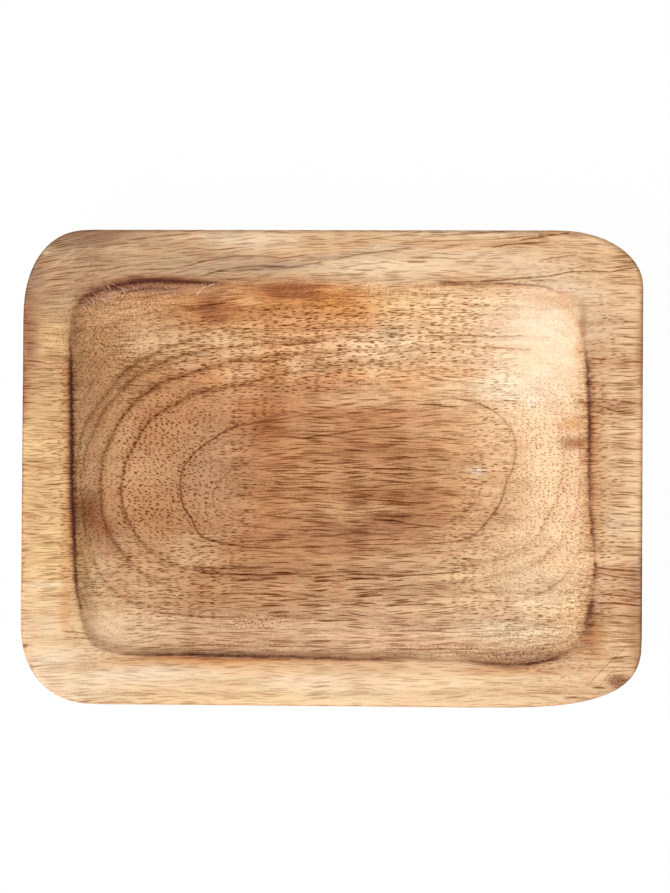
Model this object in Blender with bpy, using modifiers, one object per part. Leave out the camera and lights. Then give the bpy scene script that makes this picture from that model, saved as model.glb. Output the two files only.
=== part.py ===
"""A soap dish carved from one wooden board, standing on four round pads.

The board is flat-sawn and its grain runs along X. A hollow with a steep wall at the
rim, sloping sides and a long oval floor holds the bar. The pads keep the wood off a
wet shelf. Metres, +Z up. The origin is on the shelf, under the middle of the dish.
Left and right are -X and +X, front and back are -Y and +Y.
"""
import math

import bmesh
import bpy
from mathutils import Vector

# Board
BOARD_LENGTH = 0.130
BOARD_WIDTH = 0.100
BOARD_THICKNESS = 0.020
EDGE_ROUND = 0.0011

# The board is sawn by hand, so its edges aren't quite square to each other
LEFT_EDGE_SLANT = 0.0008
RIGHT_EDGE_SLANT = 0.0004
FRONT_EDGE_SLANT = 0.0012
BACK_EDGE_SLANT = 0.0002

# Corners of the board: how far each takes to turn, and how full its curve is
BACK_LEFT_CORNER_ALONG = 0.0138
BACK_LEFT_CORNER_ACROSS = 0.0186
BACK_RIGHT_CORNER_ALONG = 0.0174
BACK_RIGHT_CORNER_ACROSS = 0.0116
FRONT_LEFT_CORNER_ALONG = 0.016
FRONT_LEFT_CORNER_ACROSS = 0.0168
FRONT_RIGHT_CORNER_ALONG = 0.034
FRONT_RIGHT_CORNER_ACROSS = 0.015
ROUND_POWER = 2.0
FULL_POWER = 2.3
FULLEST_POWER = 3.0
BOARD_CORNER_STEPS = 14

# Rim between the board's edges and the hollow's mouth
RIM_LEFT_AT_BACK = 0.0098
RIM_LEFT_AT_FRONT = 0.0120
RIM_RIGHT_AT_BACK = 0.0130
RIM_RIGHT_AT_FRONT = 0.0100
RIM_BACK = 0.0116
RIM_FRONT = 0.0095
LIP_EASE = 0.0004

# Hollow
HOLLOW_DEPTH = 0.012
RINGS_PER_SECTION = 4
MOUTH_CORNER_STEPS = 10
MOUTH_EDGE_STEPS = 6
SECTION_CORNER_STEPS = 30

# Sections of the hollow from the mouth down to the floor, chosen by hand.
# Reach left, right, back and front as shares of the mouth's own reach on that side,
# the turn of the corners along and across as shares of half the section, and depth.
SECTION_SHARES = (
    (1.000, 1.000, 1.000, 1.000, 0.20, 0.27, 0.000),
    (0.985, 0.985, 0.980, 0.980, 0.22, 0.30, 0.140),
    (0.940, 0.946, 0.870, 0.875, 0.38, 0.54, 0.300),
    (0.893, 0.907, 0.750, 0.760, 0.56, 0.84, 0.450),
    (0.740, 0.820, 0.570, 0.585, 0.54, 0.94, 0.700),
    (0.582, 0.717, 0.425, 0.440, 0.50, 0.96, 0.900),
    (0.420, 0.560, 0.270, 0.280, 0.50, 0.96, 0.980),
    (0.250, 0.370, 0.120, 0.130, 0.50, 0.96, 1.000),
)

# Pads
PAD_RADIUS = 0.005
PAD_HEIGHT = 0.0017
PAD_TAPER = 0.0003
PAD_EDGE_ROUND = 0.0006
PAD_INSET = 0.014
PAD_ROUND_STEPS = 5
PAD_TURN_STEPS = 36

# Clearance between a pad and the board, and how far a cutter overruns what it cuts
SEAT_GAP = 0.0003
CUT_OVERRUN = 0.002

# A crease sharper than this stays crisp when the piece is shaded smooth
CREASE_ANGLE = math.radians(35)

BOARD_UNDERSIDE = PAD_HEIGHT + SEAT_GAP
RIM_HEIGHT = BOARD_UNDERSIDE + BOARD_THICKNESS


def clear_scene():
    """Remove whatever the open scene holds."""
    for old in list(bpy.data.objects):
        bpy.data.objects.remove(old, do_unlink=True)


def new_collection(name):
    """A collection linked to the scene."""
    collection = bpy.data.collections.new(name)
    bpy.context.scene.collection.children.link(collection)
    return collection


def new_material(name, colour, roughness):
    """A plain material with one colour."""
    material = bpy.data.materials.new(name)
    material.use_nodes = True
    material.diffuse_color = colour
    shader = material.node_tree.nodes["Principled BSDF"]
    shader.inputs["Base Color"].default_value = colour
    shader.inputs["Roughness"].default_value = roughness
    shader.inputs["Metallic"].default_value = 0
    return material


def board_corners():
    """Where the board's edges would meet if they weren't rounded, anticlockwise from the front left."""
    left, right = -BOARD_LENGTH / 2, BOARD_LENGTH / 2
    front, back = -BOARD_WIDTH / 2, BOARD_WIDTH / 2
    return [
        Vector((left, front + FRONT_EDGE_SLANT)),
        Vector((right - RIGHT_EDGE_SLANT, front)),
        Vector((right, back - BACK_EDGE_SLANT)),
        Vector((left + LEFT_EDGE_SLANT, back)),
    ]


def mouth_corners():
    """The same for the hollow's mouth, which the rim's widths set in from the board's edges."""
    front_left, front_right, back_right, back_left = board_corners()
    return [
        front_left + Vector((RIM_LEFT_AT_FRONT, RIM_FRONT)),
        front_right + Vector((-RIM_RIGHT_AT_FRONT, RIM_FRONT)),
        back_right + Vector((-RIM_RIGHT_AT_BACK, -RIM_BACK)),
        back_left + Vector((RIM_LEFT_AT_BACK, -RIM_BACK)),
    ]


def corner_points(corner, before, after, turn, power, steps):
    """Points from the edge before a corner round to the edge after it."""
    to_before = (before - corner).normalized() * turn[0]
    to_after = (after - corner).normalized() * turn[1]
    points = []
    for step in range(steps + 1):
        angle = math.pi / 2 * step / steps
        share_before = 1 - math.sin(angle) ** (2 / power)
        share_after = 1 - math.cos(angle) ** (2 / power)
        points.append(corner + to_before * share_before + to_after * share_after)
    return points


def rounded_outline(corners, turns, powers, steps):
    """A closed outline, anticlockwise: straight edges between four rounded corners."""
    points = []
    for index, corner in enumerate(corners):
        before = corners[index - 1]
        after = corners[(index + 1) % len(corners)]
        points += corner_points(corner, before, after, turns[index], powers[index], steps)
    return points


def board_outline():
    """The board's outline, centred on the origin."""
    turns = [
        (FRONT_LEFT_CORNER_ACROSS, FRONT_LEFT_CORNER_ALONG),
        (FRONT_RIGHT_CORNER_ALONG, FRONT_RIGHT_CORNER_ACROSS),
        (BACK_RIGHT_CORNER_ACROSS, BACK_RIGHT_CORNER_ALONG),
        (BACK_LEFT_CORNER_ALONG, BACK_LEFT_CORNER_ACROSS),
    ]
    powers = [FULL_POWER, FULLEST_POWER, ROUND_POWER, FULL_POWER]
    points = rounded_outline(board_corners(), turns, powers, BOARD_CORNER_STEPS)
    lowest = Vector((min(p.x for p in points), min(p.y for p in points)))
    highest = Vector((max(p.x for p in points), max(p.y for p in points)))
    middle = (lowest + highest) / 2
    return [p - middle for p in points]


def slope_at(column, index):
    """How steeply a column of the table runs through a row, with no overshoot."""
    if index in (0, len(column) - 1):
        return 0
    before = column[index] - column[index - 1]
    after = column[index + 1] - column[index]
    if before * after <= 0:
        return 0
    return 2 * before * after / (before + after)


def between_rows(column, index, share):
    """A column's value a share of the way from a row to the next, on a smooth curve."""
    start, end = column[index], column[index + 1]
    rise = end - start
    first, last = slope_at(column, index), slope_at(column, index + 1)
    if index == 0:
        first = rise
    square, cube = share ** 2, share ** 3
    return (start + first * (cube - 2 * square + share)
            + rise * (3 * square - 2 * cube) + last * (cube - square))


def section_rows():
    """The table of sections, filled in between its rows."""
    columns = list(zip(*SECTION_SHARES))
    rows = []
    for index in range(len(SECTION_SHARES) - 1):
        for step in range(RINGS_PER_SECTION):
            share = step / RINGS_PER_SECTION
            rows.append([between_rows(column, index, share) for column in columns])
    rows.append(list(SECTION_SHARES[-1]))
    return rows


def section_corners(left, right, back, front):
    """The mouth's corners drawn in to a section's reach on each side."""
    front_left, front_right, back_right, back_left = mouth_corners()
    return [
        Vector((front_left.x * left, front_left.y * front)),
        Vector((front_right.x * right, front_right.y * front)),
        Vector((back_right.x * right, back_right.y * back)),
        Vector((back_left.x * left, back_left.y * back)),
    ]


def section_outline(corners, share_along, share_across, steps):
    """A section's outline, its corners turning over shares of half its length and width."""
    half_length = (corners[1] - corners[0]).length / 2
    half_width = (corners[2] - corners[1]).length / 2
    along, across = half_length * share_along, half_width * share_across
    turns = [(across, along), (along, across), (across, along), (along, across)]
    return rounded_outline(corners, turns, [ROUND_POWER] * len(corners), steps)


def grown(corners, distance):
    """Corners moved outwards by a distance on both axes."""
    return [Vector((c.x + math.copysign(distance, c.x), c.y + math.copysign(distance, c.y))) for c in corners]


def deepest_point():
    """The middle of the hollow's lowest section, seen from above."""
    corners = section_corners(*SECTION_SHARES[-1][:4])
    return sum(corners, Vector((0, 0))) / len(corners)


def mouth_bearings(centre):
    """Directions from the centre to points all round the mouth, closest together at its corners."""
    along, across = SECTION_SHARES[0][4:6]
    outline = section_outline(mouth_corners(), along, across, MOUTH_CORNER_STEPS)
    bearings = []
    for index, point in enumerate(outline):
        bearings.append(point - centre)
        if (index + 1) % (MOUTH_CORNER_STEPS + 1) == 0:
            following = outline[(index + 1) % len(outline)]
            for step in range(1, MOUTH_EDGE_STEPS):
                bearings.append(point.lerp(following, step / MOUTH_EDGE_STEPS) - centre)
    return bearings


def crossing(outline, centre, bearing):
    """Where a line from the centre along a bearing leaves an outline."""
    for start, end in zip(outline, outline[1:] + outline[:1]):
        before, after = bearing.cross(start - centre), bearing.cross(end - centre)
        if before <= 0 < after:
            return start.lerp(end, before / (before - after))
    raise ValueError("the centre lies outside a section of the hollow")


def ring_at(corners, along, across, height):
    """One section as a ring in space, its points on the same bearings as every other ring's."""
    centre = deepest_point()
    outline = section_outline(corners, along, across, SECTION_CORNER_STEPS)
    flat = [crossing(outline, centre, bearing) for bearing in mouth_bearings(centre)]
    return [Vector((p.x, p.y, height)) for p in flat]


def hollow_rings():
    """The hollow's rings, from above the rim down to the floor."""
    rows = section_rows()
    flared = grown(mouth_corners(), LIP_EASE + CUT_OVERRUN)
    rings = [ring_at(flared, rows[0][4], rows[0][5], RIM_HEIGHT + CUT_OVERRUN)]
    for left, right, back, front, along, across, depth in rows:
        height = RIM_HEIGHT - LIP_EASE - depth * (HOLLOW_DEPTH - LIP_EASE)
        rings.append(ring_at(section_corners(left, right, back, front), along, across, height))
    return rings


def hollow_cutter(collection):
    """A closed loft through the hollow's sections, for cutting the board."""
    shape = bmesh.new()
    rings = [[shape.verts.new(point) for point in ring] for ring in hollow_rings()]
    for upper, lower in zip(rings, rings[1:]):
        for index in range(len(upper)):
            following = (index + 1) % len(upper)
            shape.faces.new((upper[index], upper[following], lower[following], lower[index]))
    shape.faces.new(rings[0])
    shape.faces.new(rings[-1])
    bmesh.ops.recalc_face_normals(shape, faces=shape.faces)
    mesh = bpy.data.meshes.new("hollow_cutter")
    shape.to_mesh(mesh)
    shape.free()
    cutter = bpy.data.objects.new("hollow_cutter", mesh)
    cutter.hide_render = True
    cutter.display_type = "WIRE"
    collection.objects.link(cutter)
    return cutter


def board_blank(collection):
    """The board before it is carved: its outline at full thickness, with rounded edges."""
    curve = bpy.data.curves.new("board_outline", "CURVE")
    curve.dimensions = "2D"
    curve.fill_mode = "BOTH"
    curve.offset = -EDGE_ROUND
    curve.bevel_depth = EDGE_ROUND
    curve.bevel_resolution = 2
    curve.extrude = BOARD_THICKNESS / 2 - EDGE_ROUND
    spline = curve.splines.new("POLY")
    outline = board_outline()
    spline.points.add(len(outline) - 1)
    for point, place in zip(spline.points, outline):
        point.co = (place.x, place.y, 0, 1)
    spline.use_cyclic_u = True
    drawn = bpy.data.objects.new("board_outline", curve)
    collection.objects.link(drawn)
    bpy.context.view_layer.update()

    evaluated = drawn.evaluated_get(bpy.context.evaluated_depsgraph_get())
    mesh = bpy.data.meshes.new_from_object(evaluated)
    bpy.data.objects.remove(drawn, do_unlink=True)
    shape = bmesh.new()
    shape.from_mesh(mesh)
    bmesh.ops.remove_doubles(shape, verts=shape.verts, dist=SEAT_GAP / 100)
    bmesh.ops.recalc_face_normals(shape, faces=shape.faces)
    shape.to_mesh(mesh)
    shape.free()
    mesh.name = "dish_board"
    blank = bpy.data.objects.new("dish_board", mesh)
    collection.objects.link(blank)
    return blank


def carved_board(collection, cutter, wood):
    """The dish: the blank lifted onto its pads, with the hollow cut out of its top."""
    board = board_blank(collection)
    board.location.z = BOARD_UNDERSIDE + BOARD_THICKNESS / 2
    board.data.materials.clear()
    board.data.materials.append(wood)
    board.data.shade_smooth()
    board.data.set_sharp_from_angle(angle=CREASE_ANGLE)
    cut = board.modifiers.new("hollow", "BOOLEAN")
    cut.operation = "DIFFERENCE"
    cut.object = cutter
    return board


def pad_profile():
    """A pad's outer side from the middle of its top to the middle of its foot."""
    foot_radius = PAD_RADIUS - PAD_TAPER
    points = [(0, PAD_HEIGHT), (PAD_RADIUS, PAD_HEIGHT)]
    for step in range(PAD_ROUND_STEPS + 1):
        angle = math.pi / 2 * step / PAD_ROUND_STEPS
        radius = foot_radius - PAD_EDGE_ROUND * (1 - math.cos(angle))
        height = PAD_EDGE_ROUND * (1 - math.sin(angle))
        points.append((radius, height))
    points.append((0, 0))
    return points


def pad_mesh(rubber):
    """The profile as a wire, ready to be turned."""
    points = [(radius, 0, height) for radius, height in pad_profile()]
    edges = [(index, index + 1) for index in range(len(points) - 1)]
    mesh = bpy.data.meshes.new("pad")
    mesh.from_pydata(points, edges, [])
    mesh.materials.append(rubber)
    return mesh


def pad(name, mesh, side, end, collection):
    """One pad, set in from the board's edges under the corner that side and end give."""
    piece = bpy.data.objects.new(name, mesh)
    piece.location.x = side * (BOARD_LENGTH / 2 - PAD_INSET)
    piece.location.y = end * (BOARD_WIDTH / 2 - PAD_INSET)
    collection.objects.link(piece)
    turn = piece.modifiers.new("turned", "SCREW")
    turn.steps = PAD_TURN_STEPS
    turn.render_steps = PAD_TURN_STEPS
    turn.use_merge_vertices = True
    turn.merge_threshold = SEAT_GAP / 100
    turn.use_smooth_shade = True
    return piece


def build():
    """Model the whole dish."""
    clear_scene()
    dish = new_collection("Soap dish")
    cutters = new_collection("Cutters")
    wood = new_material("wood", (0.56, 0.33, 0.16, 1), 0.62)
    rubber = new_material("pad_rubber", (0.74, 0.74, 0.71, 1), 0.45)
    carved_board(dish, hollow_cutter(cutters), wood)
    mesh = pad_mesh(rubber)
    left, right, front, back = -1, 1, -1, 1
    pad("pad_front_left", mesh, left, front, dish)
    pad("pad_front_right", mesh, right, front, dish)
    pad("pad_back_left", mesh, left, back, dish)
    pad("pad_back_right", mesh, right, back, dish)


build()
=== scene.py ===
# %% [markdown]
# # A carved wooden soap dish
#
# The dish is one flat-sawn board of hardwood. Its rim is flat, the edge of its hollow was
# scorched while it was cut, and the long floor shows the wood's rings as nested ovals.
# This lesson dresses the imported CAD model: it keeps every size and place, and replaces the
# plain solids with finer meshes and finishes made from nodes.

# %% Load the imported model
import math

import bpy
import numpy as np
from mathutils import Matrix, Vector, noise


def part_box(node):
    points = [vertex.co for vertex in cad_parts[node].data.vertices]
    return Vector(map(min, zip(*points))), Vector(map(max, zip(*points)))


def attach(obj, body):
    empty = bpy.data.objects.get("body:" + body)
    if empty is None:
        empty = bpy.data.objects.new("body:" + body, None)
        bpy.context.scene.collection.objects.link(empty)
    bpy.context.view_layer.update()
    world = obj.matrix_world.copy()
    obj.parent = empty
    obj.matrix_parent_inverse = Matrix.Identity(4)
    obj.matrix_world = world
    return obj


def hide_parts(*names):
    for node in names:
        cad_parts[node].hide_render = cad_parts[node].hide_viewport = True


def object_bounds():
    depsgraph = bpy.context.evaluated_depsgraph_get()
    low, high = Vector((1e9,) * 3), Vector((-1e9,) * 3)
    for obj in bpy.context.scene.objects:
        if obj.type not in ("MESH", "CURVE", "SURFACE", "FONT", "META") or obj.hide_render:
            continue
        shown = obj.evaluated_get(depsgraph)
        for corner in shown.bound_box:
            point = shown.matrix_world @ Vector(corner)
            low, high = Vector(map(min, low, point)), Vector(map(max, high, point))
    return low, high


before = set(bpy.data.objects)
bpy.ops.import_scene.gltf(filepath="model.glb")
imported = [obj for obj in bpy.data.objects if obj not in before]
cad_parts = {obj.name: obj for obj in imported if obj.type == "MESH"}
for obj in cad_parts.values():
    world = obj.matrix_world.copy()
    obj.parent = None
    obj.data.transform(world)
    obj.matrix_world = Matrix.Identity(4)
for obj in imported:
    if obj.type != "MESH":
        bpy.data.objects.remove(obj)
cad_low, cad_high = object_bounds()
MM = 0.001


def size_mm(low, high):
    """The sides of a box in millimetres, for printing."""
    return [round((h - l) / MM, 2) for l, h in zip(low, high)]


print("CAD box:", size_mm(cad_low, cad_high), "mm")

# %% [markdown]
# ## From the picture to the dish
#
# The picture looks straight down on the dish, so a pixel and a point of the dish differ only
# by a scale and a shift. Outlines are easiest to write in pixels, as they were read, and
# two short helpers turn them into metres and back.

# %% Pixels and metres
PIXEL = 0.2082 * MM
MIDDLE_X, MIDDLE_Y = 332.05, 468.75


def place(points):
    """Pixel points to metres, x to the right and y to the back."""
    points = np.asarray(points, float)
    return np.stack([(points[..., 0] - MIDDLE_X) * PIXEL, (MIDDLE_Y - points[..., 1]) * PIXEL], -1)


def pixels(points):
    """Metres to pixels."""
    points = np.asarray(points, float)
    return np.stack([points[..., 0] / PIXEL + MIDDLE_X, MIDDLE_Y - points[..., 1] / PIXEL], -1)


# %% [markdown]
# ## Closed curves read round one centre
#
# Every outline of this dish runs once round the deepest part of the hollow: the board's
# edge, the mouth of the hollow, and the ovals that the rings draw on its sides. So each one
# can be told as a reach, the distance from that centre at every bearing. A smooth closed
# curve goes through the few points that its shape needs, and its reach is read off at
# evenly spaced bearings. The mesh then needs no cutting or filling: it is rings of points.

# %% Reach of a closed curve
BEARINGS = 792
CENTRE = place((348, 472))
bearings = np.linspace(-math.pi, math.pi, BEARINGS, endpoint=False)
heading = np.stack([np.cos(bearings), np.sin(bearings)], -1)


def smooth_loop(points, steps=16):
    """A closed curve through the points, rounded between them (a Catmull-Rom spline)."""
    points = np.asarray(points, float)
    before, after, next_after = (np.roll(points, n, 0) for n in (1, -1, -2))
    runs = []
    for t in np.linspace(0, 1, steps, endpoint=False):
        runs.append(0.5 * (2 * points + (after - before) * t
                           + (2 * before - 5 * points + 4 * after - next_after) * t ** 2
                           + (3 * points - before - 3 * after + next_after) * t ** 3))
    return np.stack(runs, 1).reshape(-1, points.shape[1])


def around(loop, values):
    """Values given along a closed loop, read at every bearing."""
    turn = np.arctan2(loop[:, 1] - CENTRE[1], loop[:, 0] - CENTRE[0])
    order = np.argsort(turn)
    return np.interp(bearings, turn[order], values[order], period=2 * math.pi)


def reach(loop):
    """Distance from the centre to the loop at every bearing."""
    steps = 24
    after = np.roll(loop, -1, 0)
    dense = np.concatenate([loop + (after - loop) * n / steps for n in range(steps)])
    return around(dense, np.hypot(*(dense - CENTRE).T))


# %% [markdown]
# ## The mouth of the hollow
#
# The hollow was roughed out by a cutter that rubbed and burned the wood where it dwelt.
# The mouth isn't a clean rectangle: its corners differ and its right side leans. Each point
# also says how dark the line along the mouth is there, from 0 to 1, and how wide it is in
# pixels. That line is the scorch together with painted shade of the steep wall just inside it.

# %% Mouth points
MOUTH = np.array([  # across, down, scorch and painted shade, width
    (70.5, 335, 0.30, 3), (70.5, 347, 0.5, 3.5), (71, 375, 0.85, 4.2), (71.5, 410, 0.9, 4.2),
    (72, 450, 0.9, 4.4), (72, 480, 0.9, 4.4), (73, 510, 1, 4.6), (74, 534, 0.8, 4.2),
    (75, 568, 0.65, 3.4), (77, 590, 0.6, 3.4), (80, 605, 0.5, 3), (82, 621, 0.25, 2),
    (88, 638, 0.05, 2), (98, 648, 0.0, 2), (115, 653, 0.1, 2), (138, 654.5, 0.42, 3.2),
    (183, 654.5, 0.62, 3.2), (217, 655.5, 0.68, 3.2), (252, 656.5, 0.65, 3.2),
    (286, 657, 0.56, 3.0), (321, 658, 0.5, 2.8), (364, 659, 0.45, 2.4), (394, 658.5, 0.4, 2.2),
    (412, 659, 0.15, 2.2), (440, 661, 0.0, 3), (468, 662, 0.3, 3), (490, 664, 0.5, 4.0),
    (513, 665, 0.55, 4.4), (536, 663, 0.75, 3.2), (556, 658, 0.5, 3), (568, 652, 0.3, 4),
    # at the front right the wide, soft points are mostly painted shade of the steep wall
    (577, 643, 0.25, 5), (586, 630, 0.42, 7), (589, 615, 0.45, 6.5), (591.5, 604, 0.6, 3.6),
    (593.5, 592, 0.25, 3.5), (595.5, 569, 0.75, 3.2), (595.2, 558, 0.4, 2.6), (594, 545, 0.5, 3.2),
    (592.5, 528, 0.6, 3.6), (590.5, 505, 0.55, 3.2), (589.5, 470, 0.6, 3.3),
    (589.8, 438, 0.7, 3.8), (589, 400, 0.75, 4.2), (587, 363, 0.6, 4.2), (584.5, 343, 0.4, 2.5),
    (580, 323, 0.2, 2.5), (571, 303, 0.2, 2.5), (560, 293, 0.3, 2.5), (546, 287.5, 0.45, 2.5),
    (524, 285, 0.55, 2), (502, 283.5, 0.6, 2), (462, 284, 0.5, 2), (430, 285.5, 0.35, 2),
    (400, 287, 0.1, 3), (360, 286, 0.0, 4), (320, 285, 0.1, 5), (280, 285, 0.1, 5),
    (240, 284, 0.12, 3), (215, 283, 0.6, 3.5), (185, 281.5, 0.95, 5), (160, 280.5, 1, 6),
    (138, 281.5, 0.95, 6), (118, 285, 0.75, 5.5), (101, 289.5, 0.6, 5), (87, 296, 0.55, 4.5),
    (78, 304, 0.4, 3.5), (73, 314, 0.3, 3),
])
mouth_loop = smooth_loop(MOUTH)
mouth_place = place(mouth_loop[:, :2])
mouth = reach(mouth_place)
scorch_and_shade = np.clip(around(mouth_place, mouth_loop[:, 2]), 0, 1)
scorch_and_shade_width = around(mouth_place, mouth_loop[:, 3]) * PIXEL
print("mouth of the hollow:", np.round(np.ptp(mouth_place, 0) / MM, 1), "mm")

# %% [markdown]
# ## How deep the hollow is
#
# The photograph gives no depth, but the pores do: cut along they are long, and on a slope
# they come out short. Read that way, the hollow has a flat middle, long easy slopes, and a
# steep foot just inside the mouth. Each level line is written by its reach to the left,
# right, back and front, and by how square its corners are, from 2 for an ellipse upwards.

# %% Level lines
RIM = cad_high.z
FLOOR = 10.0 * MM
LEVELS = [  # height in mm; reach left, right, back, front in pixels; squareness
    (10.0, 80, 100, 26, 28, 2.3),
    (10.25, 135, 140, 50, 56, 2.4),
    (11.3, 170, 168, 76, 80, 2.7),
    (13.5, 210, 196, 104, 106, 3.6),
    (15.9, 246, 216, 133, 135, 5.0),
    (18.0, 261, 229, 159, 160, 8.0),
]
FOOT_HEIGHT = 19.7 * MM
FOOT_SHARE = 0.976


def level_reach(left, right, back, front, squareness):
    """Reach of a rounded level line at every bearing, in metres."""
    wide = np.where(heading[:, 0] < 0, left, right)
    deep = np.where(heading[:, 1] > 0, back, front)
    share = np.abs(heading[:, 0] / wide) ** squareness + np.abs(heading[:, 1] / deep) ** squareness
    return share ** (-1 / squareness) * PIXEL


# %% [markdown]
# ## A surface through the level lines
#
# Along every bearing the surface passes through the levels and then up the wall to the rim.
# A plain spline would overshoot and leave false bumps, so this one picks its slopes so that
# it never leaves the range between two neighbours (a monotone cubic). All the bearings are
# worked out at once.

# %% Heights along the bearings
TINY = 1e-12  # keeps the sum below from being zero


def monotone(knots, heights, at):
    """Heights at the distances in at, for knots and heights given as rows, one per knot."""
    gaps = np.diff(knots, axis=0)
    slopes = np.diff(heights, axis=0) / gaps
    inner = np.where(slopes[:-1] * slopes[1:] > 0,
                     2 * slopes[:-1] * slopes[1:] / (slopes[:-1] + slopes[1:] + TINY), 0)
    lean = np.concatenate([np.zeros_like(slopes[:1]), inner, slopes[-1:]])
    made = np.full(at.shape, heights[0], float)
    for n, gap in enumerate(gaps):
        t = np.clip((at - knots[n]) / gap, 0, 1)
        part = (heights[n] * (1 + 2 * t) * (1 - t) ** 2 + gap * lean[n] * t * (1 - t) ** 2
                + heights[n + 1] * t ** 2 * (3 - 2 * t) - gap * lean[n + 1] * t ** 2 * (1 - t))
        made = np.where(at >= knots[n], part, made)
    return made


knots = np.stack([level_reach(*level[1:]) for level in LEVELS] + [mouth * FOOT_SHARE, mouth])
KNOT_ROOM = 1.2 * MM
for n in range(len(LEVELS) - 1, -1, -1):
    knots[n] = np.minimum(knots[n], knots[n + 1] - KNOT_ROOM)
levels = np.array([level[0] * MM for level in LEVELS] + [FOOT_HEIGHT, RIM])
levels = np.repeat(levels[:, None], BEARINGS, 1)
print("hollow is", round((RIM - FLOOR) / MM, 1), "mm deep")

# %% [markdown]
# ## Rings of the tree
#
# A ring of the tree is a thin layer that lies almost flat in a flat-sawn board. Where the
# hollow cuts down through such layers, each one comes out as a closed oval, like a level
# line on a map. The ovals are written from the inside out. Where a ring runs out into the
# wall its points are a guess, and its line is kept faint there.

# %% Ring ovals
OVALS = [
    [(210, 500), (215, 485), (228, 472), (250, 461), (300, 448), (350, 440), (410, 433),
     (455, 434), (477, 446), (486, 465), (484, 487), (478, 502), (467, 515), (450, 524),
     (410, 530), (350, 533), (280, 530), (240, 523), (218, 514)],
    [(180.5, 470), (179, 486), (182, 505), (190, 519), (197, 533), (206, 540), (229, 545.5),
     (262, 549), (300, 548), (345, 546), (400, 545), (433, 544.5), (456, 542.5), (471, 538.5),
     (483, 529), (493, 517), (502, 503), (508, 482), (514, 470), (517.6, 455), (517, 441),
     (511, 427), (500, 414), (479, 402), (456, 398.5), (422, 396.5), (370, 400),
     (320, 410), (280, 419), (252, 423), (231, 427), (214, 437), (198, 448), (187, 460)],
    [(118.5, 494), (121.5, 472), (126, 456), (134, 441), (143, 426), (157, 413),
     (174, 403), (195, 392), (235, 385), (290, 372), (370, 364), (450, 360), (500, 366),
     (535, 384), (553, 405), (561.5, 427), (565.5, 452), (565, 470), (563, 482),
     (559, 497), (552, 513), (546, 526), (537, 540), (518, 553), (480, 564), (400, 569),
     (300, 573), (220, 573), (178, 567), (152, 555), (136, 539), (124, 516)],
    [(99, 486), (101, 459), (106, 446), (111.5, 433), (119, 419), (130, 404.5),
     (143.5, 393), (161, 382), (180, 376), (215, 364), (260, 356), (350, 350), (440, 347),
     (510, 348), (550, 362), (572, 390), (580, 425), (582, 470), (580, 503), (573, 528),
     (561, 545), (540, 562), (500, 576), (430, 586), (350, 592), (250, 596), (180, 591),
     (138, 571), (113, 543), (102, 518)],
    [(80, 486), (82, 465), (85, 450), (92, 432), (103, 409), (115, 395), (130, 379),
     (150, 367), (175, 356), (225, 347), (300, 340), (380, 336), (460, 336), (530, 345),
     (568, 366), (580, 395), (584, 430), (585.5, 470), (584, 510), (582, 545), (572, 570),
     (550, 590), (500, 606), (430, 614), (350, 618), (250, 620), (180, 617), (130, 604),
     (100, 578), (85, 540)],
    [(75, 486), (76, 460), (79, 441), (87, 419), (98, 404), (109, 389), (124, 371),
     (150, 355), (190, 340), (250, 331), (320, 326), (400, 323), (470, 324), (540, 333),
     (574, 352), (583, 390), (586.5, 430), (587, 470), (587, 510), (587, 550), (579, 585),
     (556, 608), (500, 624), (430, 632), (350, 636), (250, 637), (180, 634), (125, 620),
     (94, 594), (79, 545)],
]
print(len(OVALS), "ovals through", sum(len(oval) for oval in OVALS), "points")

# %% [markdown]
# ## How dark each ring line is
#
# A ring line isn't equally dark all the way round. Where the cutter ran with the grain the
# line is crisp, and where it tore the wood the line is lost among the pores. So each oval
# has a short list of bearings with a strength, and the strength in between is blended. The
# two inner lines are thin and crisp, and the outer ones are soft rows of pores.

# %% Strength of the ring lines
LINE_STRENGTH = [  # for each oval: bearing in degrees from the right, and strength there
    [(-170, 0.5), (-120, 0.1), (-70, 0.1), (-50, 0.5), (0, 0.4), (20, 0.2), (90, 0.1), (150, 0.3)],
    [(-170, 1.0), (-90, 0.8), (-40, 0.9), (0, 0.8), (25, 0.5), (60, 0.35), (110, 0.5), (160, 0.9)],
    [(-170, 0.9), (-160, 0.6), (-148, 0.3), (-130, 0.2), (-90, 0.1), (-40, 0.35), (0, 0.35),
     (30, 0.2), (90, 0.25), (150, 0.9)],
    [(-170, 0.9), (-160, 0.5), (-148, 0.25), (-120, 0.15), (-90, 0.2), (-30, 0.25), (20, 0.1),
     (50, 0.1), (90, 0.4), (120, 0.6), (160, 1.0)],
    [(-170, 0.6), (-100, 0.0), (-25, 0.4), (0, 0.1), (40, 0.0), (80, 0.3), (120, 0.6), (160, 0.9)],
    [(-170, 0.3), (-100, 0.0), (-20, 0.1), (0, 0.0), (60, 0.0), (110, 0.2), (150, 0.8), (175, 0.7)],
]
OUTER_STRENGTH = 0.25
CRISP_RINGS = 1.8
LEAST_SOFT = 0.1


def line_softness(count):
    """Whether the nearest ring line is thin and crisp, 0, or a soft row of pores, 1."""
    return np.clip(np.round(count) - CRISP_RINGS, LEAST_SOFT, 1)


def line_strength(count):
    """How dark the nearest ring line is at each bearing."""
    degrees = np.degrees(bearings)
    tables = np.array([np.interp(degrees, *zip(*sorted(row)), period=360)
                       for row in LINE_STRENGTH])
    nearest = np.round(count).astype(int) - 1
    strength = tables[np.clip(nearest, 0, len(OVALS) - 1), np.arange(BEARINGS)]
    return np.where(nearest < len(OVALS), strength, OUTER_STRENGTH)


# %% [markdown]
# ## A number for every ring
#
# The innermost oval is ring 1, the next one ring 2, and a point between two ovals gets a
# number in between. On the rim and the sides the number is counted through the layers of the
# board, which bow down a little from its middle line to the front and the back. Two ovals
# are never let closer together than half a millimetre, so that the numbers always rise.

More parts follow.
